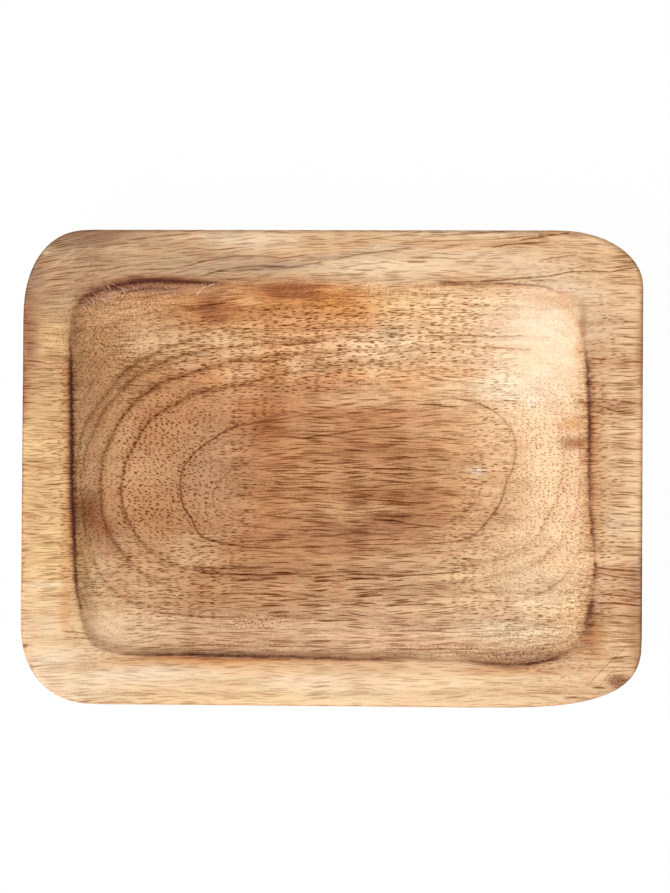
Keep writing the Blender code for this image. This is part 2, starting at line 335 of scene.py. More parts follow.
# %% Ring numbers
ring_reach = np.stack([np.zeros(BEARINGS)] + [reach(place(smooth_loop(oval))) for oval in OVALS]
                      + [mouth])
MOUTH_COUNT = len(OVALS) + 1.5
LAYER = 1.35 * MM  # thickness of one year's wood
BOW = 0.0016  # rings to a square millimetre, across the board


def board_count(xy, z):
    """The ring number on the rim and the sides, where the layers bow down from a crown."""
    return MOUTH_COUNT + (z - RIM) / LAYER + BOW * (xy[:, 1] / MM) ** 2


RING_ROOM = 0.5 * MM
for n in range(len(OVALS), 0, -1):
    ring_reach[n] = np.minimum(ring_reach[n], ring_reach[n + 1] - RING_ROOM)
ring_numbers = np.arange(len(OVALS) + 2.0)[:, None] * np.ones(BEARINGS)
ring_numbers[-1] = board_count(CENTRE + heading * mouth[:, None], RIM)


def ring_count(distance):
    """How many rings out from the centre a distance lies, with whole numbers on the ovals."""
    return np.array([np.interp(distance[n], ring_reach[:, n], ring_numbers[:, n])
                     for n in range(BEARINGS)])


print("rings at the mouth:", round(ring_numbers[-1].min(), 1), "to",
      round(ring_numbers[-1].max(), 1))

# %% [markdown]
# ## The outer edge of the board
#
# The board's outline isn't drawn again. It is read from the CAD model's lowest wall points,
# so that the dressed dish ends exactly where the solid does. Its arrises are eased: a
# quarter round is swept along the outline, set in along the outline's own normal. It stays
# a hair inside the solid, so that the dish keeps the solid's size.

# %% Board outline
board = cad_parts["dish_board"]
corners = np.array([v.co[:] for v in board.data.vertices])
BOARD_FOOT = corners[:, 2].min()
EASE = 1.1 * MM
WALL_BAND = 0.2 * MM  # how far from the foot of the straight side a wall point may lie
wall = corners[np.abs(corners[:, 2] - BOARD_FOOT - EASE) < WALL_BAND][:, :2]
wall = wall[np.argsort(np.arctan2(*(wall - CENTRE).T[::-1]))]
INSIDE = 0.05 * MM
edge_reach = reach(wall) - INSIDE
edge = CENTRE + heading * edge_reach[:, None]
along_edge = np.roll(edge, -1, 0) - np.roll(edge, 1, 0)
outward = np.stack([along_edge[:, 1], -along_edge[:, 0]], -1)
outward /= np.linalg.norm(outward, axis=1)[:, None]
print("board outline:", np.round(np.ptp(edge, 0) / MM, 2), "mm, from", len(wall), "wall points")

# %% [markdown]
# ## Rings of points for the whole board
#
# The mesh is built as rings of points, from the middle of the floor, up the hollow, over the
# rim, down the side and back in under the board. Each ring has the same number of points,
# so neighbouring rings join into four-sided faces. Rings lie closer together where the
# surface turns. Every point carries a few numbers that the finish reads later: how
# many rings out it lies, how far it is from the mouth, and how strong the scorch is there.

# %% A ring and what it carries
FAR_MM = 20
FAR = FAR_MM * MM  # so far off that nothing of the mouth or the edge shows
rings = []


def add_ring(xy, z, count, from_mouth, from_edge, upper):
    """Keeps one ring of points, with the numbers that each of them carries."""
    rings.append((xy, z, count, from_mouth + np.zeros(BEARINGS), from_edge + np.zeros(BEARINGS),
                  np.full(BEARINGS, upper)))


def shares(number):
    """Even steps as shares, from just above 0 up to 1."""
    return np.linspace(0, 1, number + 1)[1:]


# %% [markdown]
# ## Rings from the floor to the lip
#
# Inside the hollow the rings crowd a little towards the mouth, where the wall is steep. The
# mouth of the real dish has a small rounded lip, not a knife edge. So the last rings turn
# over from the wall to the flat rim in a quarter wave.

# %% Rings of the hollow
HOLLOW_RINGS = 68
CROWDING = 0.10
HAIR = 1e-6  # too small to see, as a share or in metres
LIP = 0.55 * MM  # to each side of the mouth
LIP_RINGS = 5
LIP_START = 1 - LIP / mouth
steps = shares(HOLLOW_RINGS)
steps = steps + CROWDING * np.sin(math.pi * steps) * steps
for step in steps * (1 - HAIR):
    distance = mouth * LIP_START * step
    add_ring(CENTRE + heading * distance[:, None], monotone(knots, levels, distance),
             ring_count(distance), distance - mouth, FAR, 1.0)
lip_low = monotone(knots, levels, mouth * LIP_START)
for step in shares(LIP_RINGS):
    distance = mouth - LIP * (1 - 2 * step)
    z = lip_low + (RIM - lip_low) * math.sin(step * math.pi / 2)
    add_ring(CENTRE + heading * distance[:, None], z, ring_count(distance), distance - mouth,
             FAR, 1.0)
print(len(rings), "rings up to the rim")

# %% [markdown]
# ## Rings over the rim and round the board
#
# The rings cross the flat rim, turn over the eased arris, go down the side, turn in under it
# and close towards the middle of the underside. The rim is crossed in straight lines from the
# lip to the arris, so no ring cuts a corner. The top of the side still takes
# the tones of the rim, and they fade out a third of the way down.

# %% Rings of the rim, the sides and the underside
RIM_RINGS = 25
EASE_RINGS = 5
SIDE_RINGS = 8
UNDER_RINGS = 6
SIDE_FADE = 3
rim_start = CENTRE + heading * (mouth + LIP)[:, None]
rim_end = edge - outward * EASE
rim_width = np.linalg.norm(rim_end - rim_start, axis=1)
for step in shares(RIM_RINGS):
    xy = rim_start + (rim_end - rim_start) * step
    z = np.full(BEARINGS, RIM)
    add_ring(xy, z, board_count(xy, z), LIP + rim_width * step,
             EASE * math.pi / 2 + rim_width * (1 - step), 1.0)
for turn in shares(EASE_RINGS) * math.pi / 2:
    xy = edge - outward * EASE * (1 - math.sin(turn))
    z = np.full(BEARINGS, RIM - EASE * (1 - math.cos(turn)))
    add_ring(xy, z, board_count(xy, z), LIP + rim_width + EASE * turn,
             EASE * (math.pi / 2 - turn), 1.0)
for step in shares(SIDE_RINGS):
    z = np.full(BEARINGS, RIM - EASE + (BOARD_FOOT + 2 * EASE - RIM) * step)
    add_ring(edge, z, board_count(edge, z), FAR, -FAR * step, max(0, 1 - SIDE_FADE * step))
for turn in shares(EASE_RINGS) * math.pi / 2:
    xy = edge - outward * EASE * (1 - math.cos(turn))
    z = np.full(BEARINGS, BOARD_FOOT + EASE * (1 - math.sin(turn)))
    add_ring(xy, z, board_count(xy, z), FAR, -FAR, 0.0)
for step in shares(UNDER_RINGS)[:-1]:
    xy = CENTRE + (edge - outward * EASE - CENTRE) * (1 - step)
    z = np.full(BEARINGS, BOARD_FOOT)
    add_ring(xy, z, board_count(xy, z), FAR, -FAR, 0.0)
print(len(rings), "rings of", BEARINGS, "points")

# %% [markdown]
# ## Join the rings into a mesh
#
# One point closes the floor and another closes the underside, each with a fan of triangles.
# The four-sided faces between two rings are listed with array arithmetic, which is quicker
# than a loop over a hundred thousand faces.

# %% Board mesh
xy, z, count, from_mouth, from_edge, upper = (np.stack(part) for part in zip(*rings))
points = np.concatenate([xy, z[..., None]], -1).reshape(-1, 3)
points = np.concatenate([points, [[*CENTRE, FLOOR], [*CENTRE, BOARD_FOOT]]])
first, last = len(points) - 2, len(points) - 1
near = np.arange(BEARINGS)
far = (near + 1) % BEARINGS
ring_of = np.arange(len(rings) - 1)[:, None] * BEARINGS
quads = np.stack([near + ring_of, near + ring_of + BEARINGS,
                  far + ring_of + BEARINGS, far + ring_of], -1).reshape(-1, 4)
top_fan = np.stack([np.full(BEARINGS, first), near, far], -1)
under = (len(rings) - 1) * BEARINGS
under_fan = np.stack([np.full(BEARINGS, last), far + under, near + under], -1)
mesh = bpy.data.meshes.new("carved_board")
mesh.from_pydata(points, [], quads.tolist() + top_fan.tolist() + under_fan.tolist())
mesh.shade_smooth()
print(len(mesh.polygons), "faces,", len(mesh.vertices), "points")

# %% [markdown]
# ## Numbers that the finish reads
#
# A material can't know by itself where a ring runs or how far off the mouth is. But it can
# read a number that the mesh keeps for every point, and Blender blends those numbers over
# each face. Here the points get their ring number, the gap between rings, their distances
# from the mouth and from the outer edge, the scorch, and how much they lie on end grain.

# %% Numbers kept on the mesh
def spread(values, at_first, at_last):
    """Values on the rings plus those of the two closing points, in the mesh's order."""
    return np.concatenate([np.asarray(values, float).reshape(-1), [at_first, at_last]])


def keep(name, values):
    """Stores one number per point, which a finish can read by its name."""
    mesh.attributes.new(name, "FLOAT", "POINT").data.foreach_set("value", values)


NARROW_GAP, WIDE_GAP = 0.3, 20  # between two rings, in millimetres
places = np.concatenate([xy, z[..., None]], -1)
along_rings = np.linalg.norm(np.gradient(places, axis=0), axis=-1)
round_rings = np.linalg.norm(np.roll(places, -1, 1) - np.roll(places, 1, 1), axis=-1) / 2
steepness = np.hypot(np.gradient(count, axis=0) / along_rings,
                     (np.roll(count, -1, 1) - np.roll(count, 1, 1)) / 2 / round_rings)
ring_gap = np.clip(1 / MM / np.maximum(steepness, 1), NARROW_GAP, WIDE_GAP)
ones = np.ones((len(rings), 1))
keep("ring_count", spread(count, 0, 0))
keep("ring_gap_mm", spread(ring_gap, WIDE_GAP, WIDE_GAP))
keep("ring_soft", spread(line_softness(count), 0, 0))
keep("from_edge_mm", spread(from_edge / MM, FAR_MM, -FAR_MM))
keep("from_mouth_mm", spread(from_mouth / MM, -FAR_MM, FAR_MM))
keep("scorch_and_shade", spread(scorch_and_shade * ones, 0, 0))
keep("scorch_and_shade_width_mm", spread(scorch_and_shade_width / MM * ones, 1, 1))
upper_side = spread(upper, 1, 0)
keep("upper_side", upper_side)
print("mean gap between rings:", round(ring_gap.mean(), 2), "mm")

# %% [markdown]
# ## End grain
#
# At the two ends of the dish the fibres are cut across. There a pore is a dot, a ring is a
# thin line, and the scorch runs into the wood in spikes. So the points also keep how much
# they lie on an end face of the board, and how much on an end wall of the hollow. On the
# long sides they keep how far they are round the arris, so the grain runs on down the side.

# %% Ends and sides
END_POWER, END_FACE_POWER = 6, 3  # how quickly the end grain fades at the corners
END_LINE = 0.5  # strength of a ring line on the end faces
end_wall = np.abs(heading[:, 0] / (mouth_place[:, 0].max() - CENTRE[0]) * mouth) ** END_POWER
keep("end_wall", spread(np.clip(end_wall, 0, 1) * ones, 0, 0))
on_side = from_edge <= 0
below = (from_edge > -FAR + HAIR) | (z > BOARD_FOOT + EASE / 2)
turned = np.where(on_side & below, 1, 0)
wrap = (RIM - z) * turned * outward[:, 1] * np.abs(outward[:, 1])
keep("surface_across_mm", spread((xy[..., 1] + wrap) / MM, CENTRE[1] / MM, CENTRE[1] / MM))
end_grain = turned * np.abs(outward[:, 0]) ** END_FACE_POWER
keep("end_face", spread(end_grain, 0, 0))
line_here = np.stack([line_strength(row) for row in count]) * upper
keep("ring_line", spread(np.maximum(line_here, end_grain * END_LINE), 0, 0))

# %% [markdown]
# ## Dirt and painted shade on the end edges
#
# The upper edges of the board's two ends are dark in places: partly dirt, as end grain
# drinks up oil and dirt, and partly painted shade of the rounded arris. Two short lists say
# how dark, from the back of the dish to the front, and the darkening fades out where the
# corners turn away from the ends.

# %% Dirt and painted shade along the edges
RIGHT_EDGE = [  # down in pixels, then how dark the dirt and painted shade are
    (250, 0.3), (300, 0.5), (350, 0.7), (400, 0.45), (450, 0.2), (500, 0.9), (540, 0.6),
    (570, 1.2), (650, 0.9), (690, 0.4),
]
LEFT_EDGE = [
    (260, 0.4), (300, 0.6), (350, 0.5), (400, 1.0), (450, 0.4), (500, 0.45), (550, 0.1),
    (600, 0.0),
]
END_BEARING, END_FADE = 41, 6  # in degrees
at_end = np.clip((END_BEARING - np.degrees(np.arcsin(np.abs(heading[:, 1])))) / END_FADE, 0, 1)
edge_down = pixels(edge)[:, 1]
edge_dark = at_end * np.where(heading[:, 0] > 0, np.interp(edge_down, *zip(*RIGHT_EDGE)),
                              np.interp(edge_down, *zip(*LEFT_EDGE)))
keep("edge_dark", spread(edge_dark * ones, 0, 0))

# %% [markdown]
# ## Tones of the wood
#
# The colour of real wood drifts over some centimetres: heartwood is brown, sapwood is pale,
# and old stains sit near the edges. A single noise can't put each of them in its place. So
# the wood gets a short list of named tones, and soft patches of them are laid over a
# base tone. A tone is written as it looks on a screen and turned into what a shader wants.

# %% Tones
TONES = {  # as written for a screen, 0 to 255
    "honey": (230, 187, 142), "tan": (209, 161, 118), "cream": (252, 230, 200),
    "straw": (240, 200, 146), "amber": (212, 142, 80), "umber": (158, 102, 66),
    "floor": (194, 138, 95), "rust": (178, 104, 62), "ash": (186, 156, 126),
    "olive": (182, 136, 94), "sand": (244, 208, 166), "plum": (150, 100, 84),
    "rose": (228, 178, 142), "bark": (118, 72, 46), "smoke": (140, 116, 100),
    "blush": (224, 186, 158), "violet": (132, 104, 98),
    "milk": (250, 236, 216),
}


def linear(tone):
    """A tone as Blender's shader wants it, with the screen's curve taken off."""
    share = np.array(TONES[tone]) / 255
    return np.where(share <= 0.04045, share / 12.92, ((share + 0.055) / 1.055) ** 2.4)


print(len(TONES), "tones")

# %% [markdown]
# ## Where the tones lie
#
# A patch is one soft spot: its tone, its middle and its half width and half height in
# pixels, and how strongly it covers what is under it. Patches are laid in the order of
# the list, so a later one lies over an earlier one. The broad drift of the wood comes first,
# then the stains, and then small spots, each written down one by one after a render was held
# against the picture.

# %% Tone patches
PATCHES = [  # tone, across, down, half width, half height, strength
    # the broad drift of rim, floor and slopes
    ("honey", 330, 245, 330, 36, 0.7), ("honey", 615, 460, 36, 220, 0.9),
    ("straw", 45, 470, 32, 160, 0.9), ("sand", 330, 685, 330, 32, 1.0),
    ("ash", 130, 262, 110, 24, 0.75), ("ash", 52, 285, 40, 40, 0.8),
    ("smoke", 100, 237, 60, 9, 0.6), ("smoke", 290, 264, 90, 6, 0.35),
    ("cream", 250, 240, 50, 8, 0.5), ("cream", 480, 262, 70, 12, 0.35),
    ("cream", 60, 690, 60, 20, 0.45), ("cream", 330, 683, 60, 18, 0.35),
    ("straw", 130, 668, 110, 10, 0.35), ("straw", 250, 698, 140, 9, 0.4),
    ("amber", 200, 667, 170, 5, 0.3), ("floor", 330, 470, 200, 120, 0.95),
    ("floor", 160, 470, 90, 120, 0.8), ("olive", 105, 360, 45, 50, 0.75),
    ("olive", 150, 330, 60, 26, 0.6), ("floor", 170, 300, 60, 16, 0.4),
    ("honey", 120, 455, 12, 60, 0.35), ("honey", 110, 605, 24, 34, 0.7),
    ("cream", 108, 628, 16, 16, 0.2), ("floor", 230, 590, 70, 50, 0.35),
    # the strong cream at (548, 325), and the cream and milk spots near it later in the list, are
    # partly pale wood and partly a painted highlight on the walls that face the lamp
    ("cream", 548, 325, 50, 42, 0.95), ("sand", 545, 400, 55, 60, 0.9),
    ("sand", 555, 500, 50, 120, 0.9), ("sand", 500, 590, 110, 50, 0.75),
    ("honey", 440, 320, 130, 34, 0.9), ("sand", 460, 300, 60, 16, 0.6),
    ("sand", 350, 345, 100, 16, 0.7),
    # stains and the darker middle of the floor
    ("amber", 280, 306, 90, 22, 0.75), ("rust", 212, 308, 18, 12, 0.7),
    ("rust", 290, 291, 36, 9, 0.75), ("bark", 290, 287, 30, 4, 0.4),
    ("umber", 395, 515, 80, 22, 0.4), ("umber", 268, 420, 18, 24, 0.5),
    ("umber", 255, 580, 40, 14, 0.3), ("bark", 85, 514, 12, 20, 0.8),
    ("plum", 110, 535, 16, 14, 0.4), ("amber", 575, 424, 13, 8, 0.35),
    ("umber", 577, 443, 14, 8, 0.8), ("honey", 450, 425, 60, 26, 0.3),
    ("honey", 480, 480, 30, 50, 0.3), ("rose", 340, 640, 160, 18, 0.5),
    ("plum", 520, 654, 30, 7, 0.1), ("rust", 618, 605, 26, 30, 0.35),
    ("rust", 620, 412, 24, 9, 0.35), ("rust", 622, 360, 22, 10, 0.3),
    ("plum", 30, 340, 8, 40, 0.6), ("smoke", 392, 338, 12, 12, 0.4),
    # smaller spots, in the order in which they were laid
    ("sand", 620, 310, 26, 24, 0.4), ("ash", 120, 272, 130, 16, 0.5),
    ("umber", 60, 268, 40, 14, 0.15), ("sand", 370, 270, 64, 12, 0.55),
    ("tan", 38, 365, 24, 50, 0.55), ("amber", 300, 345, 60, 26, 0.35),
    ("umber", 375, 450, 50, 40, 0.25), ("umber", 255, 505, 40, 26, 0.2),
    ("honey", 440, 388, 90, 14, 0.8), ("cream", 535, 365, 40, 34, 0.35),
    ("honey", 190, 552, 24, 16, 0.5), ("umber", 415, 590, 44, 14, 0.3),
    ("sand", 38, 640, 26, 36, 0.8), ("sand", 130, 630, 36, 22, 0.55),
    ("cream", 122, 636, 20, 12, 0.35), ("sand", 510, 628, 50, 12, 0.6),
    ("honey", 300, 670, 140, 7, 0.4), ("tan", 605, 640, 26, 26, 0.35),
    ("rust", 262, 418, 21, 24, 0.4), ("umber", 405, 492, 40, 12, 0.3),
    ("plum", 350, 531, 66, 10, 0.3), ("ash", 210, 475, 34, 56, 0.35),
    ("rust", 402, 408, 26, 6, 0.3), ("amber", 350, 306, 27, 20, 0.4),
    ("umber", 214, 318, 11, 8, 0.5), ("sand", 224, 339, 22, 7, 0.6),
    ("rose", 190, 364, 14, 6, 0.4), ("umber", 256, 389, 27, 10, 0.4),
    ("rust", 322, 381, 24, 12, 0.35), ("sand", 295, 368, 8, 9, 0.5),
    ("cream", 385, 346, 36, 11, 0.3), ("amber", 390, 376, 46, 12, 0.35),
    ("straw", 412, 304, 26, 15, 0.5), ("amber", 500, 346, 38, 4, 0.35),
    ("cream", 560, 350, 26, 60, 0.35), ("cream", 540, 330, 60, 30, 0.4),
    ("umber", 30, 360, 8, 50, 0.4), ("straw", 50, 335, 14, 16, 0.6),
    ("straw", 45, 570, 24, 30, 0.5), ("cream", 42, 628, 18, 6, 0.5),
    ("cream", 62, 656, 24, 10, 0.5), ("tan", 100, 262, 120, 24, 0.35),
    ("rose", 590, 470, 10, 130, 0.15), ("sand", 95, 590, 16, 40, 0.4),
    ("sand", 180, 630, 60, 16, 0.4), ("sand", 515, 628, 50, 14, 0.5),
    ("honey", 118, 545, 30, 12, 0.4), ("honey", 520, 590, 60, 18, 0.35),
    ("tan", 600, 350, 30, 8, 0.5), ("tan", 610, 470, 34, 60, 0.4), ("tan", 610, 520, 34, 40, 0.4),
    ("ash", 120, 268, 120, 10, 0.35), ("floor", 300, 348, 30, 10, 0.4),
    ("blush", 300, 592, 120, 30, 0.1), ("floor", 290, 592, 70, 22, 0.25),
    ("blush", 340, 630, 150, 16, 0.45), ("plum", 130, 287, 50, 5, 0.7),
    ("plum", 92, 296, 14, 7, 0.5), ("smoke", 135, 291, 36, 3, 0.3),
    ("honey", 395, 352, 110, 14, 0.4), ("sand", 155, 340, 30, 14, 0.4),
    ("honey", 200, 352, 50, 12, 0.4), ("honey", 555, 592, 30, 30, 0.6),
    ("sand", 515, 634, 50, 12, 0.7), ("sand", 475, 392, 60, 14, 0.4),
    ("sand", 78, 450, 5, 50, 0.5), ("honey", 90, 455, 14, 30, 0.5), ("straw", 80, 560, 6, 50, 0.4),
    ("sand", 640, 470, 12, 60, 0.6), ("sand", 35, 600, 20, 20, 0.5),
    ("sand", 80, 640, 20, 20, 0.3), ("sand", 110, 635, 30, 14, 0.5),
    ("honey", 355, 510, 20, 12, 0.25), ("sand", 595, 590, 12, 30, 0.4),
    ("sand", 120, 590, 50, 30, 0.25), ("sand", 320, 632, 60, 10, 0.4),
    ("tan", 595, 320, 30, 20, 0.4), ("violet", 225, 654.5, 75, 2.0, 0.3),
    ("rust", 300, 654, 40, 2, 0.1), ("rust", 190, 658.5, 60, 2.2, 0.6),
    ("rust", 262, 660, 40, 2.2, 0.4), ("rust", 505, 668.5, 40, 2.4, 0.5),
    ("plum", 518, 656, 42, 6, 0.25), ("amber", 505, 672, 44, 3, 0.35),
    ("amber", 240, 661, 110, 2.5, 0.4), ("plum", 618, 681, 9, 6, 0.85),
    ("umber", 92, 236, 30, 6, 0.6), ("umber", 597, 620, 8, 24, 0.4),
    ("sand", 595, 238, 34, 10, 0.5), ("sand", 600, 270, 30, 12, 0.35),
    ("honey", 135, 314, 40, 10, 0.4), ("sand", 410, 355, 60, 10, 0.4),
    ("cream", 515, 388, 40, 14, 0.5), ("honey", 80, 430, 7, 40, 0.6),
    ("cream", 545, 592, 36, 20, 0.5), ("cream", 520, 630, 40, 11, 0.6),
    ("straw", 575, 605, 12, 24, 0.4), ("sand", 600, 552, 12, 16, 0.4),
    ("ash", 350, 268, 130, 10, 0.3), ("sand", 40, 625, 24, 16, 0.5),
    ("straw", 84, 575, 8, 50, 0.5), ("tan", 50, 272, 30, 16, 0.4),
    ("umber", 597, 355, 10, 10, 0.4), ("sand", 130, 640, 40, 9, 0.4),
    ("umber", 292, 291, 30, 6, 0.7), ("umber", 250, 312, 50, 6, 0.3),
    ("plum", 30, 350, 7, 46, 0.4), ("cream", 25.5, 351.5, 1.8, 3, 0.7),
    ("cream", 46, 252.5, 2.4, 2, 0.7), ("cream", 34, 268, 2, 2, 0.7),
    ("bark", 25, 646, 2.5, 2.5, 0.9), ("bark", 32, 667, 2.5, 2, 0.8),
    ("cream", 44, 661, 11, 2.5, 0.7), ("cream", 533.6, 402.6, 4, 3, 0.8),
    ("cream", 478, 472, 7, 4, 0.5), ("violet", 591, 604, 4, 3.5, 0.8),
    ("amber", 32, 468, 8, 4, 0.7), ("rust", 612, 404, 26, 3, 0.5),
    ("violet", 198, 354, 14, 2.2, 0.4), ("straw", 555, 600, 26, 34, 0.5),
    ("straw", 530, 636, 44, 12, 0.3), ("sand", 440, 352, 90, 10, 0.4),
    ("milk", 535, 350, 44, 44, 0.12), ("cream", 515, 632, 50, 10, 0.4),
    ("cream", 548, 592, 30, 18, 0.3), ("bark", 207, 306, 9, 7, 0.5),
    ("umber", 212, 316, 8, 8, 0.4), ("amber", 579, 444, 10, 5, 0.4),
    ("rust", 616, 362, 22, 3.5, 0.4), ("rust", 619, 571, 22, 5, 0.45),
    ("rust", 620, 600, 22, 6, 0.3), ("amber", 235, 370, 30, 24, 0.3),
    ("milk", 150, 672, 60, 8, 0.4), ("milk", 38, 668, 20, 10, 0.3), ("bark", 90, 236, 20, 4, 0.4),
    ("milk", 515, 388, 40, 14, 0.15), ("bark", 86, 510, 8, 13, 0.65),
    ("umber", 102, 530, 16, 8, 0.4), ("straw", 235, 350, 40, 10, 0.2),
    ("floor", 560, 585, 20, 10, 0.15), ("tan", 582, 322, 4.5, 20, 0.6),
    ("tan", 567, 298, 9, 4, 0.4), ("honey", 571, 312, 9, 16, 0.4),
    ("amber", 330, 300, 22, 14, 0.4), ("straw", 372, 300, 20, 12, 0.35),
    ("straw", 235, 330, 30, 8, 0.35), ("sand", 400, 590, 70, 20, 0.15),
    ("cream", 640, 560, 8, 60, 0.2), ("sand", 400, 395, 70, 12, 0.35),
    ("cream", 375, 268, 40, 10, 0.4), ("olive", 88, 440, 14, 40, 0.3),
    ("honey", 150, 470, 20, 20, 0.3), ("honey", 170, 555, 30, 14, 0.3),
    ("sand", 130, 628, 30, 10, 0.4), ("honey", 160, 590, 24, 14, 0.4),
    ("cream", 470, 232, 60, 6, 0.4), ("straw", 30, 440, 12, 40, 0.4),
    ("honey", 640, 480, 10, 60, 0.5), ("floor", 355, 508, 30, 8, 0.3),
    ("honey", 455, 470, 36, 10, 0.3), ("tan", 300, 318, 60, 8, 0.4), ("tan", 70, 276, 60, 12, 0.3),
    ("tan", 76, 236, 26, 8, 0.4), ("honey", 255, 668, 60, 6, 0.3), ("honey", 375, 668, 60, 6, 0.3),
    ("honey", 595, 676, 30, 10, 0.3), ("straw", 240, 300, 20, 6, 0.3),
    ("straw", 60, 560, 24, 40, 0.4), ("tan", 30, 500, 6, 40, 0.3), ("ash", 40, 625, 16, 8, 0.3),
    ("honey", 330, 622, 120, 10, 0.3), ("sand", 395, 268, 90, 12, 0.3),
    ("sand", 620, 470, 26, 110, 0.25), ("straw", 45, 470, 30, 150, 0.3),
    ("plum", 618, 682, 9, 6, 0.5), ("sand", 578, 480, 8, 120, 0.4), ("straw", 66, 480, 4, 40, 0.5),
    ("honey", 355, 512, 30, 8, 0.25), ("honey", 375, 472, 70, 14, 0.25),
    ("tan", 415, 392, 60, 10, 0.3), ("straw", 574, 422, 9, 6, 0.3), ("amber", 574, 424, 8, 6, 0.5),
    ("umber", 578, 443, 9, 5, 0.6), ("umber", 583, 324, 4, 18, 0.4), ("tan", 572, 312, 8, 16, 0.3),
    ("rust", 86, 512, 9, 14, 0.4), ("rust", 101, 528, 13, 7, 0.4), ("umber", 92, 540, 12, 6, 0.3),
    ("honey", 480, 592, 60, 36, 0.25), ("tan", 36, 375, 20, 40, 0.3),
    ("sand", 395, 231, 100, 7, 0.35), ("sand", 597, 237, 24, 8, 0.4),
    ("umber", 618, 682, 9, 6, 0.35), ("tan", 590, 430, 7, 90, 0.3),
    ("tan", 555, 400, 30, 30, 0.15), ("tan", 330, 668, 220, 5, 0.2),
    ("umber", 235, 478, 22, 16, 0.2), ("tan", 590, 272, 24, 10, 0.2),
    ("sand", 235, 350, 26, 8, 0.2), ("tan", 601, 430, 8, 80, 0.45),
    ("amber", 597, 450, 5, 70, 0.25), ("smoke", 34, 272, 12, 24, 0.3),
    ("smoke", 80, 236, 24, 6, 0.25), ("tan", 555, 669, 26, 6, 0.5), ("tan", 515, 470, 14, 40, 0.3),
    ("tan", 435, 350, 16, 12, 0.4), ("tan", 115, 592, 16, 22, 0.35),
    # the sand band at (340, 648) is painted light, lifting the shade of the steep foot of the front
    # wall
    ("sand", 340, 648, 70, 5, 0.45), ("honey", 250, 647, 50, 5, 0.3),
    ("honey", 275, 590, 40, 14, 0.3), ("honey", 315, 510, 20, 10, 0.3),
    ("honey", 315, 430, 20, 10, 0.25), ("umber", 583, 326, 3, 14, 0.2),
    ("rust", 579, 443, 7, 4, 0.3), ("tan", 355, 668, 40, 6, 0.3), ("tan", 590, 592, 10, 16, 0.3),
    ("honey", 195, 550, 20, 12, 0.3), ("honey", 555, 630, 26, 16, 0.3),
    ("umber", 637, 578, 8, 16, 0.5), ("umber", 636, 612, 8, 20, 0.4),
    ("umber", 634, 645, 7, 20, 0.45), ("umber", 639, 350, 4, 24, 0.4),
    ("umber", 26, 300, 5, 22, 0.5), ("umber", 26, 350, 5, 30, 0.4),
    ("rust", 25, 400, 3.5, 18, 0.5), ("umber", 591, 616, 5, 26, 0.5),
    ("rust", 587, 637, 6, 10, 0.5), ("amber", 598, 636, 8, 14, 0.4),
    ("umber", 577, 649, 8, 5, 0.5), ("amber", 590, 654, 14, 5, 0.3),
    ("smoke", 268, 268, 44, 2.6, 0.5), ("smoke", 236, 257, 28, 2.0, 0.4),
    ("smoke", 330, 257.5, 20, 2.2, 0.4), ("smoke", 365, 253, 22, 2.2, 0.4),
    ("smoke", 400, 248.5, 22, 2.2, 0.2), ("amber", 66, 560, 5, 46, 0.35),
    ("sand", 45, 600, 26, 12, 0.3), ("cream", 45, 585, 20, 3, 0.4), ("straw", 50, 608, 20, 5, 0.5),
    ("tan", 600, 525, 8, 50, 0.5), ("smoke", 76, 240, 30, 12, 0.3),
    ("smoke", 70, 268, 28, 14, 0.2), ("tan", 78, 330, 8, 30, 0.3), ("tan", 260, 632, 50, 9, 0.25),
    ("tan", 475, 630, 24, 9, 0.25), ("tan", 435, 590, 20, 12, 0.25),
    ("amber", 190, 663, 80, 3.5, 0.35), ("amber", 352, 300, 26, 14, 0.45),
    ("milk", 533.6, 402.6, 3.0, 2.2, 0.95), ("milk", 477, 471, 6, 3, 0.6),
    ("honey", 375, 511, 30, 8, 0.25), ("honey", 235, 392, 24, 8, 0.3),
    ("smoke", 33, 275, 8, 16, 0.3), ("umber", 34, 460, 9, 3, 0.3), ("plum", 28, 348, 6, 5, 0.5),
    ("sand", 548, 362, 36, 30, 0.3), ("cream", 556, 316, 22, 18, 0.35),
    ("tan", 590, 500, 6, 60, 0.3), ("honey", 600, 350, 8, 30, 0.2),
    ("honey", 415, 372, 60, 10, 0.3), ("tan", 235, 640, 40, 7, 0.2), ("ash", 375, 236, 60, 7, 0.2),
    # the sand spot at (438, 657) is painted light against the shade of the front wall
    ("sand", 395, 268, 60, 6, 0.3), ("tan", 552, 299, 20, 8, 0.4), ("sand", 438, 657, 18, 5, 0.5),
    ("bark", 208, 297, 14, 6, 0.35), ("sand", 238, 371, 15, 10, 0.4),
    ("cream", 386, 249, 24, 5, 0.4), ("umber", 254, 449, 14, 12, 0.35),
    ("honey", 618, 640, 10, 26, 0.4), ("sand", 370, 285, 30, 5, 0.4),
    ("tan", 360, 680, 32, 8, 0.3), ("sand", 318, 608, 14, 8, 0.35), ("sand", 90, 584, 8, 10, 0.35),
    ("umber", 42, 297, 12, 8, 0.25), ("amber", 414, 392, 18, 14, 0.25),
    ("sand", 630, 344, 10, 8, 0.4), ("tan", 584, 358, 8, 12, 0.35), ("smoke", 66, 248, 10, 6, 0.2),
    # the sand spot at (438, 658) is painted light against the shade of the front wall
    ("umber", 102, 548, 12, 8, 0.25), ("sand", 438, 658, 16, 5, 0.4),
    ("tan", 568, 302, 12, 10, 0.35), ("honey", 618, 640, 10, 24, 0.4),
    ("umber", 42, 262, 10, 8, 0.3), ("umber", 414, 537, 22, 7, 0.35),
    ("umber", 186, 290, 12, 8, 0.3), ("bark", 222, 290, 12, 8, 0.25),
    ("sand", 90, 584, 8, 10, 0.3), ("tan", 546, 299, 16, 8, 0.25), ("umber", 558, 657, 12, 5, 0.4),
